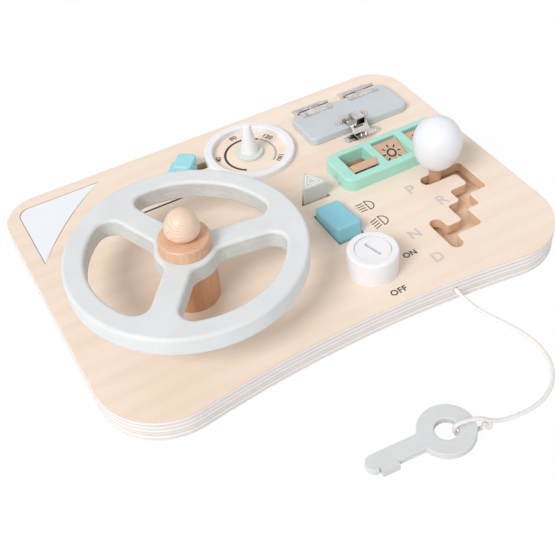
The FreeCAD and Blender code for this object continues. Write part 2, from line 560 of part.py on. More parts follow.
board_leaves, door_leaves, hinge_pins, board_nails, door_nails, door_holes = [], [], [], [], [], []
board_holes = []
for tag, x in (("a", "hinge_a"), ("b", "hinge_b")):
    third = "(hinge_length / 3)"
    bore = rod("hinge_bore_" + tag, "hinge_pin_rad + fit_gap", "hinge_length + 2", x + " - 1",
               AXIS_Y, AXIS_Z, ALONG_X)
    hinge_pins.append(rod("hinge_pin_" + tag, "hinge_pin_rad", "hinge_length", x, AXIS_Y, AXIS_Z,
                          ALONG_X))
    ears = []
    for side, start in (("l", x), ("r", x + " + 2 * " + third)):
        ears.append(rod("ear_%s%s" % (tag, side), "knuckle_rad", third, start, AXIS_Y, AXIS_Z,
                        ALONG_X))
        ears.append(box("crank_%s%s" % (tag, side), third, "leaf_thick",
                        "%s - %s" % (AXIS_Z, TOP), start,
                        AXIS_Y + " + knuckle_rad - leaf_thick", TOP))
    flat = box("board_flat_" + tag, "hinge_length", "crank_reach", "leaf_thick", x,
               AXIS_Y + " + knuckle_rad - leaf_thick", TOP)
    board_leaf = fuse("board_leaf_sum_" + tag, ears + [flat])
    middle = rod("door_ear_" + tag, "knuckle_rad", third + " - 2 * knuckle_gap",
                 "%s + %s + knuckle_gap" % (x, third), AXIS_Y, AXIS_Z, ALONG_X)
    tab = box("door_tab_" + tag, third + " - 2 * knuckle_gap", "knuckle_out + 0.6", "leaf_thick",
              "%s + %s + knuckle_gap" % (x, third), "door_far - 0.6", DOOR_HIGH)
    leaf = box("door_flat_" + tag, "hinge_length", "leaf_reach", "leaf_thick", x,
               "door_far - leaf_reach", DOOR_HIGH)
    door_leaf = fuse("door_leaf_sum_" + tag, [middle, tab, leaf])
    for side, reach in (("l", "nail_inset"), ("r", "hinge_length - nail_inset")):
        spot = "%s + %s" % (x, reach)
        for kind, y, low, nails, holes in (
                ("door", "door_far - leaf_reach / 2 - 0.8", DOOR_HIGH, door_nails, door_holes),
                ("board", AXIS_Y + " + knuckle_rad + crank_reach / 2", TOP, board_nails,
                 board_holes)):
            mark = "%s_%s%s" % (kind, tag, side)
            shank = rod("nail_shank_" + mark, "nail_rad", "nail_deep + leaf_thick", spot, y,
                        low + " - nail_deep")
            head = rod("nail_head_" + mark, "nail_head", "nail_rise", spot, y,
                       low + " + leaf_thick")
            nails.append(fuse("nail_" + mark, [shank, head]))
            holes.append(rod("nail_hole_" + mark, "nail_rad + fit_gap",
                             "nail_deep + leaf_thick + 1", spot, y, low + " - nail_deep - 0.2"))
    board_leaves.append(cut("board_leaf_" + tag, board_leaf, [bore] + board_holes[-2:]))
    door_leaves.append(cut("door_leaf_" + tag, door_leaf, [bore] + door_holes[-2:]))
keep("hinge_board_leaves", fuse("board_leaf_pair", board_leaves))
keep("hinge_door_leaves", fuse("door_leaf_pair", door_leaves))
keep("hinge_pins", fuse("hinge_pin_pair", hinge_pins))
keep("hinge_board_nails", fuse("board_nail_set", board_nails))
keep("hinge_door_nails", fuse("door_nail_set", door_nails))

# Latch: a lobed plate with two ears on the door, and a lifting tongue with a grip over a strike.
LATCH_Y = "(door_near + latch_axis_in)"
PLATE_HIGH = "(" + DOOR_HIGH + " + leaf_thick)"
LATCH_Z = "(" + PLATE_HIGH + " + latch_axis_up)"
PLATE_LOW_Y = "(" + LATCH_Y + " - latch_plate_depth / 2 + 1)"
plate = box("latch_plate_flat", "latch_width + 2 * (ear_gap + ear_thick)", "latch_plate_depth",
            "leaf_thick", "latch_x - latch_width / 2 - ear_gap - ear_thick", PLATE_LOW_Y, DOOR_HIGH)
plate_lobes, latch_screws, latch_holes = [], [], []
LOBE_Y = "(" + LATCH_Y + " + 1.5)"
for side, sign in (("l", "-"), ("r", "+")):
    x = "latch_x %s (latch_width / 2 + ear_thick + lobe_rad)" % sign
    plate_lobes.append(rod("plate_lobe_" + side, "lobe_rad", "leaf_thick", x, LOBE_Y, DOOR_HIGH))
    latch_screws.append(fuse("latch_screw_" + side, [
        rod("latch_shank_" + side, "nail_rad", "nail_deep + leaf_thick", x, LOBE_Y,
            DOOR_HIGH + " - nail_deep"),
        rod("latch_head_" + side, "nail_head", "nail_rise", x, LOBE_Y, PLATE_HIGH)]))
    latch_holes.append(rod("latch_hole_" + side, "nail_rad + fit_gap", "nail_deep + leaf_thick + 1",
                           x, LOBE_Y, DOOR_HIGH + " - nail_deep - 0.2"))
    plate_lobes.append(box("ear_" + side, "ear_thick", "2 * latch_barrel", "ear_rise + leaf_thick",
                           "latch_x - latch_width / 2 - ear_gap - ear_thick" if sign == "-"
                           else "latch_x + latch_width / 2 + ear_gap",
                           LATCH_Y + " - latch_barrel", DOOR_HIGH))
latch_bore = rod("latch_bore", "latch_pin_rad + fit_gap", "latch_width + 8",
                 "latch_x - latch_width / 2 - 4", LATCH_Y, LATCH_Z, ALONG_X)
keep("latch_plate", cut("latch_plate_cut", fuse("latch_plate_sum", [plate] + plate_lobes),
                        latch_holes + [latch_bore]))
keep("latch_screws", fuse("latch_screw_pair", latch_screws))
keep("latch_pin", rod("latch_pin_bar", "latch_pin_rad", "latch_width + 2 * (ear_gap + ear_thick) + 0.8",
                      "latch_x - latch_width / 2 - ear_gap - ear_thick - 0.4", LATCH_Y, LATCH_Z,
                      ALONG_X))
keep("door", cut("door_cut", door_soft, door_holes + latch_holes))


def tongue_solid():
    """The tongue's bent strip, from its barrel over the door's edge and down to the strike."""
    thick = val("leaf_thick")
    axis_y, near = val("door_near") + val("latch_axis_in"), val("door_near")
    low = door_high + thick + val("rest_gap")
    bend_y, fall = near - val("tongue_flat"), val("tongue_fall")
    end_y = near - val("tongue_end")
    drop = val("tongue_drop")
    side = [(axis_y, low), (bend_y, low), (bend_y - fall, low - drop), (end_y, low - drop),
            (end_y, low - drop + thick), (bend_y - fall - 0.35, low - drop + thick),
            (bend_y - 0.35, low + thick), (axis_y, low + thick)]
    half = val("latch_width") / 2
    corners = [Vector(val("latch_x") - half, y, z) for y, z in side]
    face = Part.Face(Part.makePolygon(corners + corners[:1]))
    return face.extrude(Vector(2 * half, 0, 0))


barrel = rod("tongue_barrel", "latch_barrel", "latch_width", "latch_x - latch_width / 2", LATCH_Y,
             LATCH_Z, ALONG_X)
tongue = fuse("tongue_sum", [shaped("tongue_strip", tongue_solid()), barrel])
GRIP_Z = "(" + PLATE_HIGH + " + rest_gap + leaf_thick)"
GRIP_Y = "(" + LATCH_Y + " - latch_barrel - 0.4 - grip_length)"
tongue_end_z = door_high + val("leaf_thick") * 2 + val("rest_gap") - val("tongue_drop")
rivets = [fuse("rivet_%d" % i, [
    rod("rivet_shank_%d" % i, "0.7", "leaf_thick", "latch_x + %d * rivet_apart / 2" % way,
        "door_near - tongue_end + 3", str(tongue_end_z) + " - leaf_thick"),
    rod("rivet_head_%d" % i, "rivet_rad", "rivet_rise", "latch_x + %d * rivet_apart / 2" % way,
        "door_near - tongue_end + 3", str(tongue_end_z))]) for i, way in enumerate((-1, 1))]
rivet_bores = [rod("rivet_bore_%d" % i, "0.7 + fit_gap", "3", "latch_x + %d * rivet_apart / 2" % way,
                   "door_near - tongue_end + 3", str(tongue_end_z) + " - 2")
               for i, way in enumerate((-1, 1))]
keep("latch_tongue", cut("tongue_cut", tongue, [latch_bore] + rivet_bores))
keep("latch_rivets", fuse("rivet_pair", rivets))
grip_block = box("grip_block", "grip_width", "grip_length", "grip_height", "latch_x - grip_width / 2",
                 GRIP_Y, GRIP_Z)
grip_round = fillet("grip_round", grip_block, 0.7,
                    at_height(door_high + 2 * val("leaf_thick") + val("rest_gap") + val("grip_height")))
keep("latch_grip", cut("grip_cut", grip_round, [box("grip_hollow", "grip_width - 2 * grip_wall",
                                                   "grip_length", "grip_height - 1.6",
                                                   "latch_x - grip_width / 2 + grip_wall",
                                                   GRIP_Y + " - 1", GRIP_Z + " + grip_wall")]))

strike_parts = [box("strike_flat", "strike_width", "strike_depth", "leaf_thick",
                    "latch_x - strike_width / 2", "strike_y - strike_depth / 2", TOP)]
strike_screws, strike_holes = [], []
for side, sign in (("l", "-"), ("r", "+")):
    x = "latch_x %s strike_lobe_out" % sign
    strike_parts.append(rod("strike_lobe_" + side, "lobe_rad + 0.6", "leaf_thick", x, "strike_y", TOP))
    strike_screws.append(fuse("strike_screw_" + side, [
        rod("strike_shank_" + side, "nail_rad", "nail_deep + leaf_thick", x, "strike_y",
            TOP + " - nail_deep"),
        rod("strike_head_" + side, "nail_head", "nail_rise", x, "strike_y", TOP + " + leaf_thick")]))
    strike_holes.append(rod("strike_hole_" + side, "nail_rad + fit_gap", "nail_deep + leaf_thick + 1",
                            x, "strike_y", TOP + " - nail_deep - 0.2"))
keep("strike_plate", cut("strike_cut", fuse("strike_sum", strike_parts), strike_holes))
keep("strike_screws", fuse("strike_screw_pair", strike_screws))
keep("top_panel", cut("top_drilled", top_rough, board_holes + strike_holes))

# Picture frame: a painted block with three windows, a rod along it and a tile in each window.
frame_plain = box("frame_plain", "frame_length", "frame_depth", "frame_height", "frame_left",
                  "frame_near", TOP)
frame_corners = fillet("frame_corners", frame_plain, val("frame_corner"), upright)
frame_soft = fillet("frame_soft", frame_corners, val("frame_round"),
                    at_height(top + val("frame_height")))
ROD_Y = "(frame_near + frame_depth / 2)"
ROD_Z = "(" + TOP + " + rod_height)"
windows = [box("window_%d" % i, "window_wide", "window_deep", "frame_height + 2",
               "frame_left + window_first + %d * window_pitch" % i,
               ROD_Y + " - window_deep / 2", TOP + " - 1") for i in range(3)]
rod_bore = rod("rod_bore", "rod_rad + fit_gap", "frame_length + 2", "frame_left - 1", ROD_Y, ROD_Z,
               ALONG_X)
notch = rod("frame_notch", "notch_rad", "window_first - 2", "frame_left - 1", ROD_Y + " - 6", TOP,
            ALONG_X)
keep("picture_frame", cut("frame_cut", frame_soft, windows + [rod_bore, notch]))
keep("picture_rod", rod("rod_bar", "rod_rad", "frame_length - 0.6", "frame_left + 0.3", ROD_Y, ROD_Z,
                        ALONG_X))
for i, turn_name in enumerate(("tile_turn_a", "tile_turn_b", "tile_turn_c")):
    turn = FreeCAD.Rotation(Vector(1, 0, 0), val(turn_name))
    low = turn.multVec(Vector(0, -val("tile_depth") / 2, -val("tile_thick") / 2))
    tile = box("tile_block_%d" % i, "window_wide - 2 * tile_side_gap", "tile_depth", "tile_thick",
               "0", "0", "0")
    place(tile, "frame_left + window_first + tile_side_gap + %d * window_pitch" % i,
          ROD_Y + " + %.12f" % low.y, ROD_Z + " + %.12f" % low.z, turn)
    soft = fillet("tile_soft_%d" % i, tile, 0.5, lambda e: e.BoundBox.XLength > 10)
    bore = rod("tile_bore_%d" % i, "rod_rad + fit_gap", "window_wide + 2",
               "frame_left + window_first - 1 + %d * window_pitch" % i, ROD_Y, ROD_Z, ALONG_X)
    keep("picture_tile_%d" % (i + 1), cut("tile_cut_%d" % i, soft, [bore]))

# Hazard button: a triangular push button with a flange, on a spring.
FLANGE_HIGH = "(base_thick + flange_room - rest_gap)"
button_rise = triangle("button_rise", "0", FLANGE_HIGH + " - 0.5",
                       TOP + " + hazard_rise - " + FLANGE_HIGH + " + 0.5")
button_soft = fillet("button_soft", button_rise, 1.2, upright)
button_top = fillet("button_top", button_soft, 0.6, at_height(top + val("hazard_rise")))
button_flange = triangle("button_flange", "flange_out", FLANGE_HIGH + " - flange_thick",
                         "flange_thick")
keep("hazard_button", fuse("button_sum", [button_top, button_flange]))


def spring_solid():
    """A wire spring of a few turns between its well's floor and the button."""
    rad, wire = val("spring_rad"), val("spring_wire") / 2
    low = val("base_thick") - val("spring_sunk") + wire
    high = val("base_thick") + val("flange_room") - val("rest_gap") - val("flange_thick") - wire
    pitch = (high - low) / val("spring_turns")
    helix = Part.makeHelix(pitch, high - low, rad)
    section = Part.Wire([Part.makeCircle(wire, Vector(rad, 0, 0), Vector(0, 1, 0))])
    coil = Part.Wire(helix).makePipeShell([section], True, True)
    coil.translate(Vector(val("hazard_x"), val("hazard_y"), low))
    return coil


keep("hazard_spring", shaped("spring_coil", spring_solid()))

# Headlight rocker: a dished block on a cross pin, tipped at rest with its near end up.
tilt = FreeCAD.Rotation(Vector(1, 0, 0), -val("rocker_tilt"))
corner = tilt.multVec(Vector(0, -val("rocker_length") / 2, -val("rocker_bottom")))
ROCKER_Z = "(" + TOP + " - rocker_pivot)"
rocker_block = box("rocker_block", "rocker_width", "rocker_length", "rocker_top + rocker_bottom",
                   "0", "0", "0")
dish_rad = ("((rocker_length / 2)^2 + rocker_dish^2) / (2 * rocker_dish)")
dish = rod("rocker_dish_bar", dish_rad, "rocker_width + 4", "-2", "rocker_length / 2",
           "rocker_top + rocker_bottom - rocker_dish + " + dish_rad, ALONG_X)
rocker_dished = cut("rocker_dished", rocker_block, [dish])
rocker_sides = fillet("rocker_sides", rocker_dished, 3.2, upright)
doc.recompute()
rocker_soft = fillet("rocker_soft", rocker_sides, val("rocker_round"),
                     lambda e: e.BoundBox.ZMin > 12)
doc.recompute()
rocker_local = shaped("rocker_local", rocker_soft.Shape.copy())
rocker_local.Placement = FreeCAD.Placement(Vector(0, 0, 0), tilt)
place(rocker_local, "rocker_x - rocker_width / 2", "rocker_y + %.12f" % corner.y,
      ROCKER_Z + " + %.12f" % corner.z, tilt)
keep("headlight_rocker", cut("rocker_cut", rocker_local,
                             [rod("rocker_pin_bore", "rocker_pin_rad + fit_gap", "rocker_width + 4",
                                  "rocker_x - rocker_width / 2 - 2", "rocker_y", ROCKER_Z,
                                  ALONG_X)]))
keep("headlight_pin", rod("rocker_pin", "rocker_pin_rad", "rocker_width + 2 * rocker_pin_over",
                          "rocker_x - rocker_width / 2 - rocker_pin_over", "rocker_y", ROCKER_Z,
                          ALONG_X))

# Key switch: a turned barrel with a slotted rotor that turns between OFF and ON on a pin.
START_HIGH = "(" + TOP + " + start_height)"
ROTOR_LOW = "(" + START_HIGH + " - rotor_gap - rotor_thick)"
barrel_bar = rod("barrel_bar", "start_rad", "start_height", "start_x", "start_y", TOP)
barrel_round = fillet("barrel_round", barrel_bar, val("start_round"),
                      at_height(top + val("start_height")))
start_bore = rod("start_bore", "start_pin_rad + fit_gap", "start_height + 2", "start_x", "start_y",
                 TOP + " - 1")
keep("start_barrel", cut("barrel_cut", barrel_round,
                         [rod("rotor_room", "rotor_rad + rotor_gap", "rotor_thick + 4", "start_x",
                              "start_y", ROTOR_LOW + " - rotor_gap"), start_bore]))
slot_turn = FreeCAD.Rotation(Vector(0, 0, 1), val("keyslot_turn"))
slot_low = slot_turn.multVec(Vector(-val("keyslot_length") / 2, -val("keyslot_width") / 2, 0))
key_slot = box("key_slot", "keyslot_length", "keyslot_width", "keyslot_deep + 1", "0", "0", "0")
place(key_slot, "start_x + %.12f" % slot_low.x, "start_y + %.12f" % slot_low.y,
      START_HIGH + " - rotor_gap - keyslot_deep", slot_turn)
rotor_bar = rod("rotor_bar", "rotor_rad", "rotor_thick", "start_x", "start_y", ROTOR_LOW)
rotor_round = fillet("rotor_round", rotor_bar, 0.5,
                     at_height(top + val("start_height") - val("rotor_gap")))
keep("start_rotor", cut("rotor_cut", rotor_round,
                        [key_slot, rod("rotor_bore", "start_pin_rad + fit_gap", "start_pin_in + 0.2",
                                       "start_x", "start_y", ROTOR_LOW + " - 0.1")]))
keep("start_pin", rod("start_pin_bar", "start_pin_rad", "%s - base_thick - 4 + start_pin_in" % ROTOR_LOW,
                      "start_x", "start_y", "base_thick + 4"))


# Gear lever: an egg knob on a beech stem, with a foot under the panel.
half = val("knob_half")
wide = half * val("egg_rise")
KNOB_Z = "(" + TOP + " + knob_middle)"
KNOB_LOW = "(" + KNOB_Z + " - knob_half)"
egg = place(shaped("egg", turned_egg(val("knob_rad"), half - wide, half + wide, wide)),
            "lever_x", "row_p", KNOB_Z)
keep("gear_knob", cut("knob_cut", egg, [rod("knob_bore", "stem_rad + fit_gap", "stem_in_knob + 1.1",
                                           "lever_x", "row_p", KNOB_LOW + " - 1")]))
keep("gear_stem", rod("stem_bar", "stem_rad", "%s + stem_in_knob - %s" % (KNOB_LOW, FOOT_LOW),
                      "lever_x", "row_p", FOOT_LOW))
keep("gear_foot", cut("lever_foot_cut",
                      rod("lever_foot_bar", "lever_foot_rad", "lever_foot_thick", "lever_x", "row_p",
                          FOOT_LOW),
                      [rod("lever_foot_bore", "stem_rad + fit_gap", "lever_foot_thick + 2",
                           "lever_x", "row_p", FOOT_LOW + " - 1")]))


# Key: a flat painted key that lies on the floor, its ring propped on the cord.
def key_edges():
    """The key's ring and shank, about the ring's middle with the shank along +X."""
    rad, half, tip = val("key_rad"), val("shank_half"), val("key_length")
    start = math.sqrt(rad ** 2 - half ** 2)
    return [
        Part.Arc(Vector(start, half, 0), Vector(-rad, 0, 0), Vector(start, -half, 0)),
        Part.LineSegment(Vector(start, half, 0), Vector(tip - half, half, 0)),
        Part.Arc(Vector(tip - half, half, 0), Vector(tip, 0, 0), Vector(tip - half, -half, 0)),
        Part.LineSegment(Vector(tip - half, -half, 0), Vector(start, -half, 0)),
        Part.Circle(Vector(0, 0, 0), Vector(0, 0, 1), val("key_hole")),
    ]


key_soft = fillet("key_soft", sketched("key_flat", key_edges(), "key_thick"), val("key_round"),
                  lambda e: at_height(0)(e) or at_height(val("key_thick"))(e))
key_bit = box("key_bit", "bit_to - bit_from", "bit_out - shank_half + 2", "key_thick", "bit_from",
              "shank_half - 2", "0")
key_whole = fuse("key_whole", [key_soft, fillet("key_bit_soft", key_bit, 0.5,
                                                lambda e: upright(e) and e.BoundBox.YMin > 7)])
key_slit = box("key_slit", "0.9", "2", "key_thick + 2", "bit_to", "shank_half - 1", "-1")
key_level = cut("key_level", key_whole, [key_slit])
doc.recompute()
key_shape = key_level.Shape.copy()
key_shape.rotate(Vector(val("key_length"), 0, 0), Vector(0, 1, 0), val("key_tilt"))
key_shape.rotate(Vector(0, 0, 0), Vector(0, 0, 1), val("key_turn"))
key_lift = val("key_length") * math.sin(math.radians(val("key_tilt")))
keep("key", place(shaped("key_solid", key_shape), "key_x", "key_y", "%.12f" % key_lift))


# Cord: a cotton cord of straight runs and tangent arcs from the near edge to the knot at the key.
def rounded_path(points):
    """A wire of straight runs joined by arcs as large as the runs allow; also its length."""
    edges, total, radii, last = [], 0.0, [], points[0]
    for before, here, after in zip(points, points[1:], points[2:]):
        into, out = (here - before), (after - here)
        turn = into.getAngle(out)
        reach = 0.45 * min(into.Length, out.Length)
        radii.append(reach / math.tan(turn / 2))
        start = here - into.normalize() * reach
        end = here + out.normalize() * reach
        middle_way = (start + end) * 0.5
        sag = (here - middle_way).Length
        bow = radii[-1] * (1 / math.cos(turn / 2) - 1)
        middle = here + (middle_way - here).normalize() * bow
        edges.append(Part.LineSegment(last, start).toShape())
        edges.append(Part.Arc(start, middle, end).toShape())
        last = end
    edges.append(Part.LineSegment(last, points[-1]).toShape())
    wire = Part.Wire(edges)
    print("cord radii", [round(r, 1) for r in radii], "length", round(wire.Length, 1))
    return wire


cord_start = Vector(val("cord_exit_x"), -val("board_depth") / 2 - 4 + val("cord_sunk") + 12,
                    val("cord_exit_up"))
route = [cord_start] + [Vector(*point) for point in CORD_ROUTE]
cord_wire = rounded_path(route)
cord_rad = val("cord_dia") / 2
ring = Part.Wire([Part.makeCircle(cord_rad, route[0], Vector(0, -1, 0))])
cord_tube = cord_wire.makePipeShell([ring], True, False)
print("cord volume over section times length",
      round(cord_tube.Volume / (math.pi * cord_rad ** 2 * cord_wire.Length), 4))
keep("cord", shaped("cord_tube", cord_tube))
knot = doc.addObject("Part::Sphere", "knot_ball")
knot.setExpression("Radius", bind("knot_rad"))
place(knot, "22.3", "-216.3", "knot_rad + 0.1")
keep("cord_knot", knot)

doc.recompute()
faults = [item.Name for item in doc.Objects
          if any(state in ("Invalid", "Error") for state in item.State)]
if faults:
    raise RuntimeError("failed objects: " + ", ".join(faults))
for name, item in nodes.items():
    if item.Shape.isNull() or not item.Shape.isValid() or not item.Shape.Solids:
        raise RuntimeError("bad shape: " + name)

os.makedirs("parts", exist_ok=True)
for name, item in nodes.items():
    item.Shape.exportStep(os.path.join("parts", name + ".step"))
print(len(nodes), "sub-parts written")
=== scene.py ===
import math

import bmesh
import bpy
from mathutils import Matrix, Vector


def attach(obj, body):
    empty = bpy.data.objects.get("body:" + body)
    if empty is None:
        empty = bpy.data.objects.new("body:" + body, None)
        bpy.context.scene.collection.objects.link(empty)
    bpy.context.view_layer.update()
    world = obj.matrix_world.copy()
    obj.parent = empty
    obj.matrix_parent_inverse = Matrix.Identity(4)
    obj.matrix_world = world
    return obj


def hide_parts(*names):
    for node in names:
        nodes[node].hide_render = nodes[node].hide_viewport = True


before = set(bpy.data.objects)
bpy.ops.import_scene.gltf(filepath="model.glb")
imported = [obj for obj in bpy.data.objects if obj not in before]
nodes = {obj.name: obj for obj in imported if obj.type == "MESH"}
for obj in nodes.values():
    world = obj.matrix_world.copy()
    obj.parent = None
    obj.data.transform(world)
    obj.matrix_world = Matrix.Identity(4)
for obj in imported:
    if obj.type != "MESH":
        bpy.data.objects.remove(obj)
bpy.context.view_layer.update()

# The board is two layers of birch plywood, screwed together from below and lacquered.
# Its faces show fine pale grain along its length, and its edges show the plies.
HALF_LENGTH, HALF_DEPTH = 0.175, 0.1265
FAR_CORNER, NEAR_CORNER = 0.028, 0.046
BELLY_Y = -0.1160
WALL_SKIN = 0.0012
BOARD_TOP, SEAM_Z = 0.018, 0.006
PLIES_PER_METRE = 560


def linear(r, g, b):
    """A colour as seen on a screen, 0 to 255, as a shader's linear colour."""
    return tuple(((c / 255 + 0.055) / 1.055) ** 2.4 if c > 10 else c / 255 / 12.92
                 for c in (r, g, b)) + (1.0,)


def new_group(name, inputs, outputs):
    """An empty shader node group with the named sockets."""
    group = bpy.data.node_groups.new(name, "ShaderNodeTree")
    for label, kind, value in inputs:
        socket = group.interface.new_socket(label, in_out="INPUT", socket_type=kind)
        if value is not None:
            socket.default_value = value
    for label, kind in outputs:
        group.interface.new_socket(label, in_out="OUTPUT", socket_type=kind)
    return group, group.nodes.new("NodeGroupInput"), group.nodes.new("NodeGroupOutput")


def math_node(tree, operation, first, second=None):
    """One step of arithmetic; each side may be a socket or a number."""
    node = tree.nodes.new("ShaderNodeMath")
    node.operation = operation
    for slot, value in enumerate((first, second)):
        if value is None:
            continue
        if isinstance(value, (int, float)):
            node.inputs[slot].default_value = value
        else:
            tree.links.new(value, node.inputs[slot])
    return node.outputs[0]


def mix_color(tree, mask, first, second):
    """Blend two colours by a mask; each may be a socket or a plain colour."""
    node = tree.nodes.new("ShaderNodeMix")
    node.data_type = "RGBA"
    for slot, value in ((0, mask), (6, first), (7, second)):
        if hasattr(value, "is_output"):
            tree.links.new(value, node.inputs[slot])
        else:
            node.inputs[slot].default_value = value
    return node.outputs[2]


def noise(tree, vector, scale, detail=3.0, rough=0.5):
    """Cloudy noise about 0.5."""
    node = tree.nodes.new("ShaderNodeTexNoise")
    node.inputs["Scale"].default_value = scale
    node.inputs["Detail"].default_value = detail
    node.inputs["Roughness"].default_value = rough
    tree.links.new(vector, node.inputs["Vector"])
    return node.outputs["Fac"]


def ramp(tree, value, low, high, out_low=0.0, out_high=1.0):
    """Map a range of a value to another, held at both ends."""
    node = tree.nodes.new("ShaderNodeMapRange")
    for slot, number in zip(("From Min", "From Max", "To Min", "To Max"),
                            (low, high, out_low, out_high)):
        node.inputs[slot].default_value = number
    tree.links.new(value, node.inputs["Value"])
    return node.outputs["Result"]


def stretched(tree, vector, scale, turn=(0, 0, 0)):
    """A pattern's vector, scaled and turned; a small number makes the pattern longer."""
    node = tree.nodes.new("ShaderNodeMapping")
    node.inputs["Scale"].default_value = scale
    node.inputs["Rotation"].default_value = turn
    tree.links.new(vector, node.inputs["Vector"])
    return node.outputs["Vector"]


# Grain runs along X of the vector it is given: long soft bands, fine fibres and short dark flecks.
grain, g_in, g_out = new_group(
    "wood_grain",
    [("Vector", "NodeSocketVector", None), ("Light", "NodeSocketColor", (0.8, 0.7, 0.6, 1)),
     ("Dark", "NodeSocketColor", (0.6, 0.45, 0.3, 1)),
     ("Fleck", "NodeSocketColor", (0.4, 0.25, 0.15, 1))],
    [("Color", "NodeSocketColor"), ("Height", "NodeSocketFloat")])
bands = noise(grain, stretched(grain, g_in.outputs["Vector"], (3.0, 34, 34)), 1.0, 4, 0.6)
fibres = noise(grain, stretched(grain, g_in.outputs["Vector"], (26, 900, 900)), 1.0, 3, 0.6)
flecks = noise(grain, stretched(grain, g_in.outputs["Vector"], (180, 1500, 1500)), 1.0, 2, 0.5)
blend = math_node(grain, "ADD", ramp(grain, bands, 0.35, 0.68, 0, 0.62),
                  ramp(grain, fibres, 0.35, 0.72, 0, 0.38))
fleck_mask = ramp(grain, flecks, 0.66, 0.74, 0, 0.45)
grain_color = mix_color(grain, fleck_mask, mix_color(grain, blend, g_in.outputs["Light"],
                                                    g_in.outputs["Dark"]), g_in.outputs["Fleck"])
grain.links.new(grain_color, g_out.inputs["Color"])
grain.links.new(math_node(grain, "SUBTRACT", math_node(grain, "MULTIPLY", fibres, 0.5), fleck_mask),
                g_out.inputs["Height"])


def shader(name, rough, metallic=0.0, coat=0.0, coat_rough=0.2):
    """A material with its Principled shader and an object-space vector."""
    mat = bpy.data.materials.new(name)
    mat.use_nodes = True
    tree = mat.node_tree
    skin = tree.nodes["Principled BSDF"]
    skin.inputs["Roughness"].default_value = rough
    skin.inputs["Metallic"].default_value = metallic
    skin.inputs["Coat Weight"].default_value = coat
    skin.inputs["Coat Roughness"].default_value = coat_rough
    return mat, tree, skin, tree.nodes.new("ShaderNodeTexCoord").outputs["Object"]


def opened(mat):
    """A finished material's tree, shader, object-space vector and the colour under more layers."""
    tree = mat.node_tree
    skin = tree.nodes["Principled BSDF"]
    coords = [node for node in tree.nodes if node.type == "TEX_COORD"][0]
    return tree, skin, coords.outputs["Object"], skin.inputs["Base Color"].links[0].from_socket


def bump(tree, skin, height, strength, distance, edge=0.0004):
    """Relief from a height, over normals rounded a little at sharp edges."""
    soft = tree.nodes.new("ShaderNodeBevel")
    soft.samples = 6
    soft.inputs["Radius"].default_value = edge
    node = tree.nodes.new("ShaderNodeBump")
    node.inputs["Strength"].default_value = strength
    node.inputs["Distance"].default_value = distance
    tree.links.new(height, node.inputs["Height"])
    tree.links.new(soft.outputs["Normal"], node.inputs["Normal"])
    tree.links.new(node.outputs["Normal"], skin.inputs["Normal"])


def wood(name, light, dark, fleck, rough=0.5, turn=(0, 0, 0), scale=1.0, coat=0.0):
    """Lacquered wood with its grain along X, or turned to another way."""
    mat, tree, skin, vector = shader(name, rough, coat=coat, coat_rough=0.3)
    use = tree.nodes.new("ShaderNodeGroup")
    use.node_tree = grain
    tree.links.new(stretched(tree, vector, (scale, scale, scale), turn), use.inputs["Vector"])
    use.inputs["Light"].default_value = linear(*light)
    use.inputs["Dark"].default_value = linear(*dark)
    use.inputs["Fleck"].default_value = linear(*fleck)
    tree.links.new(use.outputs["Color"], skin.inputs["Base Color"])
    tree.links.new(ramp(tree, use.outputs["Height"], -0.2, 0.5, rough + 0.08, rough - 0.05),
                   skin.inputs["Roughness"])
    bump(tree, skin, use.outputs["Height"], 0.25, 0.00012)
    return mat


def dress(mat, *names):
    """Give CAD nodes one material."""
    for name in names:
        mesh = nodes[name].data
        mesh.materials.clear()
        mesh.materials.append(mat)
        for polygon in mesh.polygons:
            polygon.material_index = 0


def blotched(mat, amount, warm):
    """Broad warm and pale clouds over a face, as sawn veneer has."""
    tree, skin, vector, face = opened(mat)
    bend = noise(tree, vector, 9, 2, 0.5)
    swirl = stretched(tree, vector, (2.2, 9, 9))
    shift = tree.nodes.new("ShaderNodeVectorMath")
    shift.operation = "ADD"
    tree.links.new(swirl, shift.inputs[0])
    tree.links.new(bend, shift.inputs[1])
    cloud = noise(tree, shift.outputs[0], 1.6, 3, 0.55)
    rings = tree.nodes.new("ShaderNodeTexWave")
    rings.bands_direction = "Y"
    rings.inputs["Scale"].default_value = 1.7
    rings.inputs["Distortion"].default_value = 9
    rings.inputs["Detail"].default_value = 2
    rings.inputs["Detail Scale"].default_value = 0.7
    tree.links.new(stretched(tree, vector, (3.2, 11, 11)), rings.inputs["Vector"])
    mask = math_node(tree, "ADD", ramp(tree, cloud, 0.38, 0.66, 0, amount),
                     ramp(tree, rings.outputs["Fac"], 0.35, 1.0, 0, amount * 0.5))
    tree.links.new(mix_color(tree, mask, face, linear(*warm)), skin.inputs["Base Color"])
    return mat


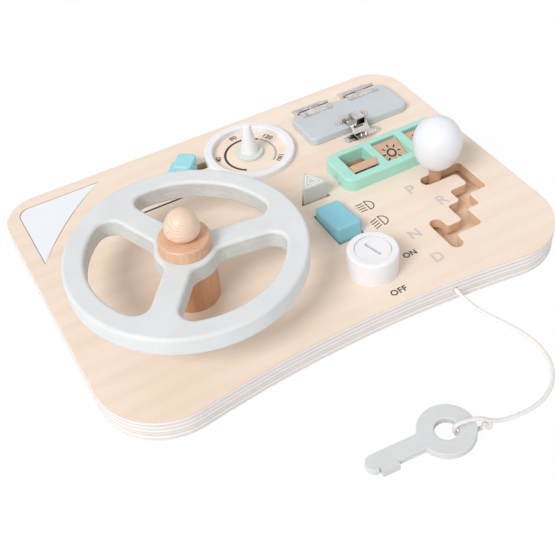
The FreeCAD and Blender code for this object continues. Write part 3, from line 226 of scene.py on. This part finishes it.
def ply_edge(name, low):
    """Sanded plywood edge, from a height up: pale plies, streaky end grain and thin glue lines."""
    mat, tree, skin, vector = shader(name, 0.6)
    split = tree.nodes.new("ShaderNodeSeparateXYZ")
    tree.links.new(vector, split.inputs[0])
    waver = noise(tree, stretched(tree, vector, (26, 26, 60)), 1.0, 2)
    level = math_node(tree, "MULTIPLY", math_node(tree, "SUBTRACT", split.outputs["Z"], low),
                      PLIES_PER_METRE)
    level = math_node(tree, "ADD", level, math_node(tree, "MULTIPLY", waver, 0.2))
    saw = math_node(tree, "PINGPONG", level, 1.0)
    streak = noise(tree, stretched(tree, vector, (420, 420, 2600)), 1.0, 4, 0.7)
    patch = noise(tree, vector, 60, 3, 0.6)
    tone = mix_color(tree, ramp(tree, saw, 0.38, 0.62), linear(247, 243, 241),
                     linear(222, 214, 210))
    tone = mix_color(tree, ramp(tree, streak, 0.45, 0.72, 0, 0.4), tone, linear(212, 200, 194))
    tone = mix_color(tree, ramp(tree, patch, 0.4, 0.7, 0, 0.25), tone, linear(246, 238, 233))
    glue = ramp(tree, math_node(tree, "ABSOLUTE", math_node(tree, "SUBTRACT", saw, 0.5)), 0.0, 0.05,
                0.5, 0.0)
    tone = mix_color(tree, math_node(tree, "MULTIPLY", glue, ramp(tree, streak, 0.3, 0.6, 0.3, 1)),
                     tone, linear(168, 152, 140))
    tree.links.new(tone, skin.inputs["Base Color"])
    bump(tree, skin, streak, 0.3, 0.00015, 0.0007)
    return mat


def outside(point):
    """True on the board's outer wall, from where a wall face stands."""
    x, y = abs(point.x), point.y
    if x > HALF_LENGTH - WALL_SKIN or y > HALF_DEPTH - WALL_SKIN:
        return True
    far_x, far_y = HALF_LENGTH - FAR_CORNER, HALF_DEPTH - FAR_CORNER
    if x > far_x and y > far_y:
        return math.hypot(x - far_x, y - far_y) > FAR_CORNER - WALL_SKIN
    near_x, near_y = HALF_LENGTH - NEAR_CORNER, NEAR_CORNER - HALF_DEPTH
    if x > near_x and y < near_y:
        return math.hypot(x - near_x, y - near_y) > NEAR_CORNER - WALL_SKIN
    return y < BELLY_Y


def board_layer(node, face_mat, edge_mat, shaded_recess_mat):
    """Face veneer on flat faces, plies round the outside, and wood grain in the cut-outs, painted
    warmer and darker than the outer plies as shade in the recesses.
    """
    mesh = nodes[node].data
    mesh.materials.clear()
    for mat in (face_mat, edge_mat, shaded_recess_mat):
        mesh.materials.append(mat)
    for polygon in mesh.polygons:
        if abs(polygon.normal.z) > 0.7:
            polygon.material_index = 0
        else:
            polygon.material_index = 1 if outside(polygon.center) else 2


birch = blotched(wood("birch_face", (247, 231, 216), (240, 221, 204), (222, 194, 168), rough=0.44),
                 0.42, (236, 210, 186))
# The cut-outs' walls are warmer and darker than the outer plies: painted shade in the recesses,
# over plain wood grain.
inner = wood("routed_wall_painted_shade", (240, 210, 180), (220, 182, 148), (176, 130, 96), 0.6, scale=1.4)
board_layer("top_panel", birch, ply_edge("edge_top", SEAM_Z), inner)
birch_below = wood("birch_base", (246, 220, 194), (232, 200, 170), (196, 154, 120), 0.55)
board_layer("base_panel", birch_below, ply_edge("edge_base", 0.0), inner)


def metal(name, color, rough, streaks=(1, 1, 1)):
    """Plated steel with fine handling marks."""
    mat, tree, skin, vector = shader(name, rough, metallic=1.0)
    marks = noise(tree, stretched(tree, vector, streaks), 900, 4, 0.6)
    cloud = noise(tree, vector, 160, 2, 0.5)
    tone = mix_color(tree, ramp(tree, cloud, 0.35, 0.7), linear(*color),
                     linear(*[c * 0.86 for c in color]))
    tree.links.new(tone, skin.inputs["Base Color"])
    tree.links.new(ramp(tree, marks, 0.3, 0.75, rough - 0.05, rough + 0.12),
                   skin.inputs["Roughness"])
    bump(tree, skin, marks, 0.12, 0.00005, 0.00015)
    return mat


dress(metal("zinc_screw", (190, 190, 190), 0.34), "panel_screws")


# The mirror is a thin silvered plastic sheet, cut to a curved triangle.
# It is glued into a recess so that it lies flush with the board.
mat, tree, skin, vector = shader("silvered_sheet", 0.03, metallic=1.0)
ripple = noise(tree, vector, 22, 2, 0.4)
tree.links.new(mix_color(tree, ripple, linear(246, 248, 252), linear(236, 240, 246)),
               skin.inputs["Base Color"])
bump(tree, skin, ripple, 0.04, 0.0004, 0.0002)
dress(mat, "mirror")


# The steering wheel is routed plywood with rounded edges under two coats of satin grey paint.
# Brush texture shows on its face, and open grain shows through the paint on its inner walls, whose
# paint is also a little darker and greener as painted shade.
WHEEL_X, WHEEL_Y = -0.0852, -0.0344
INNER_WALLS = 0.0740
paint, p_in, p_out = new_group(
    "painted_wood",
    [("Vector", "NodeSocketVector", None), ("Paint", "NodeSocketColor", (0.8, 0.8, 0.8, 1)),
     ("Shade", "NodeSocketColor", (0.7, 0.7, 0.7, 1)), ("Roughness", "NodeSocketFloat", 0.45)],
    [("Color", "NodeSocketColor"), ("Roughness", "NodeSocketFloat"), ("Height", "NodeSocketFloat")])
cloudy = noise(paint, p_in.outputs["Vector"], 38, 4, 0.6)
fine = noise(paint, stretched(paint, p_in.outputs["Vector"], (0.12, 1, 1)), 1100, 3, 0.6)
orange = noise(paint, p_in.outputs["Vector"], 1400, 2, 0.5)
shade_mask = ramp(paint, math_node(paint, "ADD", math_node(paint, "MULTIPLY", cloudy, 0.65),
                                   math_node(paint, "MULTIPLY", fine, 0.35)), 0.36, 0.66)
paint.links.new(mix_color(paint, shade_mask, p_in.outputs["Paint"], p_in.outputs["Shade"]),
                p_out.inputs["Color"])
paint.links.new(math_node(paint, "ADD", p_in.outputs["Roughness"],
                          ramp(paint, cloudy, 0.3, 0.7, -0.05, 0.07)), p_out.inputs["Roughness"])
paint.links.new(math_node(paint, "ADD", math_node(paint, "MULTIPLY", fine, 0.8),
                          math_node(paint, "MULTIPLY", orange, 0.5)), p_out.inputs["Height"])


def painted(name, color, rough=0.42, shade=0.965, coat=0.0):
    """Wood under satin paint; shade is how much darker its clouds are."""
    mat, tree, skin, vector = shader(name, rough, coat=coat, coat_rough=0.25)
    use = tree.nodes.new("ShaderNodeGroup")
    use.node_tree = paint
    tree.links.new(vector, use.inputs["Vector"])
    use.inputs["Paint"].default_value = linear(*color)
    use.inputs["Shade"].default_value = linear(*[c * shade for c in color])
    use.inputs["Roughness"].default_value = rough
    tree.links.new(use.outputs["Color"], skin.inputs["Base Color"])
    tree.links.new(use.outputs["Roughness"], skin.inputs["Roughness"])
    bump(tree, skin, use.outputs["Height"], 0.22, 0.0001)
    return mat


wheel_face = painted("wheel_grey", (226, 229, 230), 0.5)
# The inner walls' paint is a darker, greener copy of the face's grey: painted shade, with pits of
# real open grain over it.
wheel_wall_shaded = painted("wheel_wall_shaded", (220, 222, 219), 0.62, 0.93)
tree, skin, vector, coat_color = opened(wheel_wall_shaded)
pits = noise(tree, stretched(tree, vector, (1, 1, 2.4)), 520, 5, 0.72)
layers = noise(tree, stretched(tree, vector, (0.25, 0.25, 6)), 160, 3, 0.6)
pit_mask = math_node(tree, "ADD", ramp(tree, pits, 0.56, 0.68, 0, 0.5),
                     ramp(tree, layers, 0.52, 0.64, 0, 0.3))
tree.links.new(mix_color(tree, pit_mask, coat_color, linear(172, 176, 168)),
               skin.inputs["Base Color"])
bump(tree, skin, math_node(tree, "MULTIPLY", pit_mask, -1.0), 0.5, 0.00035, 0.0006)
mesh = nodes["steering_wheel"].data
mesh.materials.clear()
mesh.materials.append(wheel_face)
mesh.materials.append(wheel_wall_shaded)
for polygon in mesh.polygons:
    inward = math.hypot(polygon.center.x - WHEEL_X, polygon.center.y - WHEEL_Y) < INNER_WALLS
    polygon.material_index = 1 if inward and abs(polygon.normal.z) < 0.25 else 0


# The steering column is turned beech: a post on the board, a cap over the wheel and a knob.
# One axle runs through all of them and is glued into the board and the knob.
upright = (0, math.radians(90), 0)


def ringed(mat, axis_at, turn, spacing, strength, dark):
    """Growth rings round an axis through the piece, over its grain."""
    tree, skin, vector, under = opened(mat)
    shift = tree.nodes.new("ShaderNodeMapping")
    shift.vector_type = "TEXTURE"
    shift.inputs["Location"].default_value = axis_at
    shift.inputs["Rotation"].default_value = turn
    tree.links.new(vector, shift.inputs["Vector"])
    rings = tree.nodes.new("ShaderNodeTexWave")
    rings.wave_type = "RINGS"
    rings.rings_direction = "Z"
    rings.inputs["Scale"].default_value = 0.314 / spacing
    rings.inputs["Distortion"].default_value = 1.6
    rings.inputs["Detail"].default_value = 2
    rings.inputs["Detail Scale"].default_value = 1.2
    tree.links.new(shift.outputs["Vector"], rings.inputs["Vector"])
    mask = ramp(tree, rings.outputs["Fac"], 0.35, 1.0, 0, strength)
    tree.links.new(mix_color(tree, mask, under, linear(*dark)), skin.inputs["Base Color"])
    return mat


beech_post = wood("beech_post", (220, 166, 124), (190, 134, 94), (136, 86, 54), 0.42, upright,
                  1.4, 0.15)
dress(beech_post, "steering_post", "steering_axle")
beech_cap = wood("beech_cap", (232, 192, 162), (218, 172, 136), (160, 104, 70), 0.42, upright,
                 1.6, 0.12)
dress(ringed(beech_cap, (-0.062, -0.010, 0.05), (0, 0, 0), 0.0021, 0.32, (200, 148, 114)),
      "steering_cap")
beech_knob = wood("beech_ball", (246, 220, 200), (234, 200, 174), (190, 142, 108), 0.4,
                  (0, 0.4, 0.9), 1.5, 0.12)
dress(ringed(beech_knob, (WHEEL_X, -0.0385, 0.088), (0.62, 0.3, 0), 0.0015, 0.34, (214, 166, 134)),
      "steering_knob")


# The dial is a painted ring glued to the board, with a printed scale inside it, and a small mint
# disc with a tapered white finger knob that turn on a steel pin.
dress(painted("dial_white", (242, 242, 245), 0.4), "dial_ring", "dial_cone")
dress(painted("dial_mint", (217, 229, 222), 0.42), "dial_disc")
dress(metal("pin_steel", (190, 190, 190), 0.3), "dial_pivot", "start_pin", "headlight_pin")
INK = 0.00008
dial_at = Vector((0.0195, 0.0822, BOARD_TOP))


def ink(name, color):
    """Matt screen-printing ink, a little uneven."""
    mat, tree, skin, vector = shader(name, 0.7)
    patches = noise(tree, vector, 900, 4, 0.7)
    tone = mix_color(tree, ramp(tree, patches, 0.35, 0.75), linear(*color),
                     linear(*[min(255, c + 22) for c in color]))
    tree.links.new(tone, skin.inputs["Base Color"])
    tree.links.new(ramp(tree, patches, 0.3, 0.7, 0.6, 0.8), skin.inputs["Roughness"])
    return mat


black_ink = ink("black_ink", (52, 50, 50))
grey_ink = ink("grey_ink", (176, 170, 165))
label_ink = ink("label_ink", (66, 62, 60))
pale_ink = ink("pale_ink", (200, 192, 188))


def finish_mesh(bm, name, mat, body):
    """Turn a bmesh into a piece at the origin that rides on a body."""
    bmesh.ops.recalc_face_normals(bm, faces=bm.faces)
    mesh = bpy.data.meshes.new(name)
    bm.to_mesh(mesh)
    bm.free()
    mesh.materials.append(mat)
    piece = bpy.data.objects.new(name, mesh)
    bpy.context.scene.collection.objects.link(piece)
    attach(piece, body)


def arc_band(bm, middle, inner, outer, start, end):
    """A flat printed band along part of a circle, by spinning a short radial edge."""
    way = Vector((math.cos(math.radians(start)), math.sin(math.radians(start)), 0))
    ends = [bm.verts.new(middle + way * inner), bm.verts.new(middle + way * outer)]
    edge = bm.edges.new(ends)
    steps = max(4, int(abs(end - start) / 3))
    bmesh.ops.spin(bm, geom=ends + [edge], cent=middle, axis=(0, 0, 1),
                   angle=math.radians(end - start), steps=steps, use_merge=False)
    faces = [f for f in bm.faces if all((v.co - middle).length < outer * 1.01 for v in f.verts)]
    made = bmesh.ops.extrude_face_region(bm, geom=faces)
    for vert in [v for v in made["geom"] if isinstance(v, bmesh.types.BMVert)]:
        vert.co.z += INK


def bar(bm, start, end, width, z):
    """A flat printed stroke from one point to another."""
    a, b = Vector((*start, z)), Vector((*end, z))
    along = (b - a).normalized()
    side = Vector((-along.y, along.x, 0)) * width / 2
    made = bmesh.ops.create_cube(bm, size=1.0)["verts"]
    for vert in made:
        x, y, h = vert.co
        vert.co = a + (b - a) * (x + 0.5) + side * (2 * y) + Vector((0, 0, INK * (h + 0.5)))


NUMBER_REACH = 0.0252
scale_at = dial_at + Vector((0, -0.0012, INK * 0.5))
bm = bmesh.new()
arc_band(bm, scale_at, 0.0193, 0.0212, 234, 45)
finish_mesh(bm, "dial_arc_black", black_ink, "board")
bm = bmesh.new()
arc_band(bm, scale_at, 0.0194, 0.0211, 43, -55)
finish_mesh(bm, "dial_arc_grey", grey_ink, "board")


def lettering(name, text, at, size, mat, turn=0.0, spread=1.0, weight=0.012):
    """Printed letters: a text made into a thin mesh and laid on the board.

    Weight is how far the strokes are fattened, as a share of the letters' size.
    """
    curve = bpy.data.curves.new(name, "FONT")
    curve.body = text
    curve.size = size
    curve.align_x = "CENTER"
    curve.align_y = "CENTER"
    curve.space_character = spread
    curve.offset = size * weight
    curve.extrude = INK / 2
    holder = bpy.data.objects.new(name + "_text", curve)
    bpy.context.scene.collection.objects.link(holder)
    mesh = bpy.data.meshes.new_from_object(holder.evaluated_get(
        bpy.context.evaluated_depsgraph_get()))
    bpy.data.objects.remove(holder)
    mesh.transform(Matrix.Translation(Vector(at) + Vector((0, 0, INK)))
                   @ Matrix.Rotation(turn, 4, "Z"))
    mesh.materials.clear()
    mesh.materials.append(mat)
    piece = bpy.data.objects.new(name, mesh)
    bpy.context.scene.collection.objects.link(piece)
    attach(piece, "board")


for text, way in (("40", 165), ("80", 95), ("120", 28), ("160", -45)):
    outward = Vector((math.cos(math.radians(way)), math.sin(math.radians(way)), 0))
    lettering("dial_number_" + text, text, dial_at + outward * NUMBER_REACH, 0.0062, black_ink,
              math.radians(way - 90))


# The board's other printing: one line left of the dial, the switch's two words, the lamp signs
# beside the rocker and the four gear letters beside the gate. All of it is screen-printed.
bm = bmesh.new()
bar(bm, (-0.082, 0.062), (-0.047, 0.062), 0.0017, BOARD_TOP)
finish_mesh(bm, "printed_line", black_ink, "board")
lettering("word_on", "ON", (0.0592, -0.0819, BOARD_TOP), 0.0066, label_ink, 0, 1.08, 0.022)
lettering("word_off", "OFF", (0.0325, -0.1074, BOARD_TOP), 0.0068, label_ink, 0, 1.08, 0.022)
for letter, x, y, size in (("P", 0.0995, -0.0253, 0.0138), ("R", 0.1118, -0.0472, 0.0138),
                           ("N", 0.0739, -0.0669, 0.0122), ("D", 0.0736, -0.0948, 0.0122)):
    lettering("gear_" + letter, letter, (x, y, BOARD_TOP), size, pale_ink, weight=0.016)


LAMP_RAD, LAMP_LINE, RAY_PITCH = 0.0054, 0.0008, 0.0026


def lamp_sign(name, x, y, fall):
    """A lamp's outline: a D with rays that go level or slope down."""
    bm = bmesh.new()
    flat, z = x + 0.0010, BOARD_TOP + INK * 0.3
    arc_band(bm, Vector((flat, y, z)), LAMP_RAD - LAMP_LINE, LAMP_RAD, -90, 90)
    bar(bm, (flat, y - LAMP_RAD), (flat, y + LAMP_RAD), LAMP_LINE, z)
    for step in (-1.5, -0.5, 0.5, 1.5):
        level = y + step * RAY_PITCH
        bar(bm, (x - 0.0010, level), (x - 0.0068, level - fall), LAMP_LINE, z)
    finish_mesh(bm, name, label_ink, "board")


lamp_sign("sign_high_beam", 0.0615, -0.0223, 0.0)
lamp_sign("sign_low_beam", 0.0609, -0.0418, 0.0018)


# The turn signal is a pale turquoise painted block with a lip.
# Its neck goes through the groove into a bare beech foot, which holds it from below.
dress(painted("pale_turquoise", (160, 224, 234), 0.4), "signal_knob")
bare_beech = wood("bare_beech", (224, 184, 152), (196, 150, 116), (150, 104, 74), 0.55,
                  scale=1.5)
dress(bare_beech, "signal_foot", "gear_foot", "picture_rod")


# The door is a grey painted slab over a compartment, on two small nickel-plated butt hinges.
# Their leaves are held by round-headed nails.
dress(painted("door_grey", (203, 209, 213)), "door")
nickel = metal("nickel", (226, 219, 216), 0.2, (0.1, 1, 1))
dress(nickel, "hinge_board_leaves", "hinge_door_leaves", "hinge_pins")
dress(metal("nail_heads", (206, 202, 200), 0.24), "hinge_board_nails", "hinge_door_nails")


# The latch is pressed and plated steel: a lobed plate, a lifting tongue with a grip, two rivets
# and a strike on the board.
bright = metal("bright_plate", (218, 214, 211), 0.13)
dress(bright, "latch_plate", "latch_pin", "latch_tongue", "latch_rivets", "latch_grip",
      "strike_plate")
dress(metal("latch_screw_metal", (214, 211, 209), 0.2), "latch_screws", "strike_screws")


# The picture frame is mint painted wood with three windows, and each window has a plywood tile
# that spins on a rod and carries a small printed motif on each face.
dress(painted("mint", (176, 230, 214)), "picture_frame")
tile_wood = wood("tile_wood", (222, 186, 160), (204, 164, 136), (158, 114, 86), 0.5, scale=1.6)
dress(tile_wood, "picture_tile_1", "picture_tile_2", "picture_tile_3")
tile_ink = ink("tile_ink", (48, 42, 42))
ROD_Y, ROD_Z = 0.01495, 0.0215
TILE_HALF = 0.003
FIRST_WINDOW = 0.0585 + 0.0096
WINDOW_HALF, WINDOW_PITCH = 0.01115, 0.0293


def motif_sun(bm):
    """Eight short rays round a ring."""
    arc_band(bm, Vector((0, 0, 0)), 0.0026, 0.0040, 0, 360)
    for step in range(8):
        way = Vector((math.cos(step * math.pi / 4), math.sin(step * math.pi / 4)))
        bar(bm, way * 0.0052, way * 0.0080, 0.0012, 0)


def motif_waves(bm):
    """Three rows of half rings."""
    for row in (-0.0052, -0.0008, 0.0036):
        for x in (-0.0046, 0, 0.0046):
            arc_band(bm, Vector((x, row, 0)), 0.0014, 0.0024, 0, 180)


def motif_peaks(bm):
    """Two peaks under a round moon."""
    for a, b in (((-0.008, -0.006), (-0.003, 0.002)), ((-0.003, 0.002), (0.002, -0.006)),
                 ((-0.0005, -0.002), (0.003, 0.0045)), ((0.003, 0.0045), (0.008, -0.006)),
                 ((-0.008, -0.006), (0.008, -0.006))):
        bar(bm, a, b, 0.0013, 0)
    arc_band(bm, Vector((-0.0040, 0.0062, 0)), 0.0001, 0.0018, 0, 360)


for number, draw, turn in ((1, motif_waves, -45), (2, motif_sun, 20), (3, motif_peaks, 17)):
    middle = Vector((FIRST_WINDOW + WINDOW_HALF + WINDOW_PITCH * (number - 1), ROD_Y, ROD_Z))
    for face, flip in (("front", 0.0), ("back", math.pi)):
        bm = bmesh.new()
        draw(bm)
        bmesh.ops.transform(bm, verts=bm.verts, matrix=Matrix.Translation(middle)
                            @ Matrix.Rotation(math.radians(turn) + flip, 4, "X")
                            @ Matrix.Translation((0, 0, TILE_HALF)))
        finish_mesh(bm, "tile_%d_motif_%s" % (number, face), tile_ink, "tile_%d" % number)


# The hazard button is a light grey triangular block that pushes down on a wire spring.
# Two triangles are printed in white on its top.
dress(painted("button_grey", (208, 210, 206), 0.45), "hazard_button")
white_ink = ink("white_ink", (232, 234, 234))
BUTTON_TOP = Vector((0.0346, 0.0100, 0.0318))
BUTTON_TURN, BUTTON_LINE = 88, 0.0008


def three_sided(bm, radius):
    """A printed triangle outline on the button's top, pointing to its far corner."""
    ways = [math.radians(BUTTON_TURN + 120 * k) for k in range(3)]
    corners = [BUTTON_TOP.xy + Vector((math.cos(way), math.sin(way))) * radius for way in ways]
    for a, b in zip(corners, corners[1:] + corners[:1]):
        bar(bm, a, b, BUTTON_LINE, BUTTON_TOP.z)
    for corner in corners:
        arc_band(bm, Vector((*corner, BUTTON_TOP.z)), 0.00002, BUTTON_LINE / 2, 0, 360)


bm = bmesh.new()
three_sided(bm, 0.0088)
three_sided(bm, 0.0048)
finish_mesh(bm, "hazard_sign", white_ink, "hazard")
dress(metal("spring_steel", (180, 180, 180), 0.3), "hazard_spring")


# The headlight rocker is a turquoise painted block with a dished top.
# It rocks on a steel cross pin in the board.
dress(painted("turquoise", (142, 208, 224), 0.4), "headlight_rocker")


# The key switch is white painted turned wood: a barrel glued to the board and a rotor in it,
# with a slot across its top for a key.
dress(painted("switch_white", (242, 242, 245)), "start_barrel", "start_rotor")


# The gear lever is a white painted egg, glued on a beech stem.
# The stem goes through the gate to a foot that holds it from below.
dress(painted("knob_white", (235, 237, 242), 0.3, 0.98, coat=0.2), "gear_knob")
beech_stem = wood("beech_stem", (196, 152, 122), (170, 124, 94), (124, 82, 58), 0.45, upright,
                  1.6, 0.1)
dress(beech_stem, "gear_stem")


# The key is flat grey painted wood on a white twisted cotton cord, which runs from a hole in the
# board's near edge over the floor to a knot, and loops once through the key's ring.
dress(painted("key_grey", (214, 218, 218), 0.48), "key")
CORD_ROUTE = [
    (70, -106.5, 10),
    (70.2, -128.0, 9.6), (73.5, -136.0, 5.6), (78.5, -144.5, 2.2), (84.0, -156.0, 1.45),
    (88.6, -170.0, 1.45), (90.4, -185.5, 1.45), (86.4, -200.5, 1.45), (76.5, -212.5, 1.45),
    (62.5, -219.2, 1.45), (47.5, -220.4, 1.45), (33.5, -218.6, 2.2), (25.4, -216.8, 4.8),
    (18.4, -214.2, 10.0), (10.6, -211.9, 10.8), (3.2, -210.4, 10.1), (2.0, -210.3, 5.2),
    (2.8, -211.3, 1.45), (9.5, -213.6, 1.45), (16.0, -215.4, 1.45), (21.0, -216.5, 2.8),
]
CORD_DIA = 0.0028
TWISTS, STRANDS = 190, 3
mat, tree, skin, vector = shader("twisted_cotton", 0.85)
uv = tree.nodes.new("ShaderNodeUVMap").outputs["UV"]
parts = tree.nodes.new("ShaderNodeSeparateXYZ")
tree.links.new(uv, parts.inputs[0])
twist = math_node(tree, "ADD", math_node(tree, "MULTIPLY", parts.outputs["X"], TWISTS * math.tau),
                  math_node(tree, "MULTIPLY", parts.outputs["Y"], STRANDS * math.tau))
strand = math_node(tree, "ABSOLUTE", math_node(tree, "SINE", math_node(tree, "MULTIPLY", twist,
                                                                       0.5)))
fluff = noise(tree, vector, 3200, 3, 0.7)
# The cord is darker where its strands meet: painted shade in the grooves, over the strands' bump.
tree.links.new(mix_color(tree, ramp(tree, strand, 0.0, 0.5), linear(206, 200, 195),
                         linear(240, 235, 231)), skin.inputs["Base Color"])
skin.inputs["Sheen Weight"].default_value = 0.3
bump(tree, skin, math_node(tree, "ADD", strand, math_node(tree, "MULTIPLY", fluff, 0.3)), 0.4,
     0.00018, 0.0001)
curve = bpy.data.curves.new("key_cord", "CURVE")
curve.dimensions = "3D"
curve.bevel_depth = CORD_DIA / 2
curve.bevel_resolution = 4
curve.resolution_u = 10
curve.use_fill_caps = True
spline = curve.splines.new("NURBS")
spline.points.add(len(CORD_ROUTE) - 1)
for point, (x, y, z) in zip(spline.points, CORD_ROUTE):
    point.co = (x / 1000, y / 1000, z / 1000, 1)
spline.order_u = 3
spline.use_endpoint_u = True
curve.materials.append(mat)
cord = bpy.data.objects.new("key_cord", curve)
bpy.context.scene.collection.objects.link(cord)
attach(cord, "board")
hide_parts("cord")

# The knot is the same cord, tied once: a trefoil tube, pulled tight.
KNOT_AT, KNOT_SCALE = Vector((22.3, -216.3, 3.6)), 0.82
KNOT_STEPS = 30
knot_curve = bpy.data.curves.new("key_knot", "CURVE")
knot_curve.dimensions = "3D"
knot_curve.bevel_depth = 0.00125
knot_curve.bevel_resolution = 4
knot_curve.resolution_u = 6
knot_spline = knot_curve.splines.new("NURBS")
knot_spline.points.add(KNOT_STEPS - 1)
for index, point in enumerate(knot_spline.points):
    t = math.tau * index / KNOT_STEPS
    across = Vector((math.sin(t) + 2 * math.sin(2 * t), math.cos(t) - 2 * math.cos(2 * t),
                     -1.5 * math.sin(3 * t)))
    point.co = (*(KNOT_AT + across * KNOT_SCALE) / 1000, 1)
knot_spline.order_u = 4
knot_spline.use_cyclic_u = True
knot_mesh = bpy.data.objects.new("key_knot_curve", knot_curve)
bpy.context.scene.collection.objects.link(knot_mesh)
mesh = bpy.data.meshes.new_from_object(knot_mesh.evaluated_get(
    bpy.context.evaluated_depsgraph_get()))
bpy.data.objects.remove(knot_mesh)
mesh.materials.clear()
knot_mat, tree, skin, vector = shader("knotted_cotton", 0.85)
lumps = noise(tree, vector, 1500, 3, 0.6)
tree.links.new(mix_color(tree, ramp(tree, lumps, 0.3, 0.7), linear(204, 199, 195),
                         linear(234, 230, 226)), skin.inputs["Base Color"])
skin.inputs["Sheen Weight"].default_value = 0.3
bump(tree, skin, lumps, 0.5, 0.0002, 0.0001)
mesh.materials.append(knot_mat)
mesh.shade_smooth()
knot = bpy.data.objects.new("key_knot", mesh)
bpy.context.scene.collection.objects.link(knot)
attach(knot, "board")
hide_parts("cord_knot")


# The floor is a plain pale sheet that the camera sees as white, apart from the object's shadow.
# The light is a white room with one large soft lamp.
bm = bmesh.new()
bmesh.ops.create_grid(bm, x_segments=1, y_segments=1, size=6)
mesh = bpy.data.meshes.new("floor")
bm.to_mesh(mesh)
bm.free()
floor = bpy.data.objects.new("floor", mesh)
bpy.context.scene.collection.objects.link(floor)
mat = bpy.data.materials.new("pale_floor")
mat.use_nodes = True
tree = mat.node_tree
skin = tree.nodes["Principled BSDF"]
skin.inputs["Base Color"].default_value = (0.86, 0.86, 0.86, 1)
skin.inputs["Roughness"].default_value = 0.9
seen = tree.nodes.new("ShaderNodeLightPath")
glow = tree.nodes.new("ShaderNodeEmission")
glow.inputs["Strength"].default_value = 1.0
mixed = tree.nodes.new("ShaderNodeMixShader")
tree.links.new(math_node(tree, "MULTIPLY", seen.outputs["Is Camera Ray"], 0.95), mixed.inputs[0])
tree.links.new(skin.outputs[0], mixed.inputs[1])
tree.links.new(glow.outputs[0], mixed.inputs[2])
tree.links.new(mixed.outputs[0], tree.nodes["Material Output"].inputs[0])
mesh.materials.append(mat)

scene = bpy.context.scene
world = bpy.data.worlds.new("white_room")
scene.world = world
world.use_nodes = True
tree = world.node_tree
back = tree.nodes["Background"]
back.inputs["Color"].default_value = (1, 1, 1, 1)
seen = tree.nodes.new("ShaderNodeLightPath")
look = tree.nodes.new("ShaderNodeSeparateXYZ")
tree.links.new(tree.nodes.new("ShaderNodeTexCoord").outputs["Generated"], look.inputs[0])

# What metal mirrors is dimmer near the floor, on the left and in one ring overhead, so that the
# plated pieces show dark and light.
floor_dim = ramp(tree, look.outputs["Z"], 0.02, 0.42, 0.15, 1.0)
left_dim = ramp(tree, look.outputs["X"], -0.75, -0.35, 0.55, 1.0)
off_ring = math_node(tree, "ABSOLUTE", math_node(tree, "SUBTRACT", look.outputs["Z"], 0.93))
ring_dim = math_node(tree, "SUBTRACT", 1.0, math_node(
    tree, "MULTIPLY", ramp(tree, off_ring, 0.03, 0.07, 1, 0), 0.55))
studio = math_node(tree, "MULTIPLY", math_node(tree, "MULTIPLY", floor_dim, left_dim), ring_dim)
glossy = seen.outputs["Is Glossy Ray"]
direct = math_node(tree, "MAXIMUM", seen.outputs["Is Camera Ray"],
                   math_node(tree, "MULTIPLY", glossy, studio))
ROOM_LIGHT = 0.63
plain = math_node(tree, "MULTIPLY", math_node(tree, "SUBTRACT", 1.0, glossy), ROOM_LIGHT)
tree.links.new(math_node(tree, "MAXIMUM", direct, plain), back.inputs["Strength"])

lamp = bpy.data.lights.new("soft_lamp", "SUN")
lamp.energy = 1.9
lamp.angle = math.radians(24)
sun = bpy.data.objects.new("soft_lamp", lamp)
sun.rotation_euler = Vector((-0.95, -0.42, 0.95)).to_track_quat("Z", "Y").to_euler()
scene.collection.objects.link(sun)
scene.view_settings.view_transform = "Standard"

# The camera stands where the photograph was taken from.
camera = bpy.data.cameras.new("camera")
camera.sensor_width = 36
camera.lens = 59.54
camera.clip_start = 0.01
camera.clip_end = 20
eye = bpy.data.objects.new("camera", camera)
right = Vector((0.87255, -0.48446, -0.06299))
above = Vector((0.38156, 0.59528, 0.70716))
behind = Vector((-0.30509, -0.64106, 0.70425))
turned = Matrix((right, above, behind)).transposed().to_4x4()
target = Vector((-0.0299, -0.05225, BOARD_TOP))
DISTANCE = 0.62991
eye.matrix_world = Matrix.Translation(target + behind * DISTANCE) @ turned
scene.collection.objects.link(eye)
scene.camera = eye
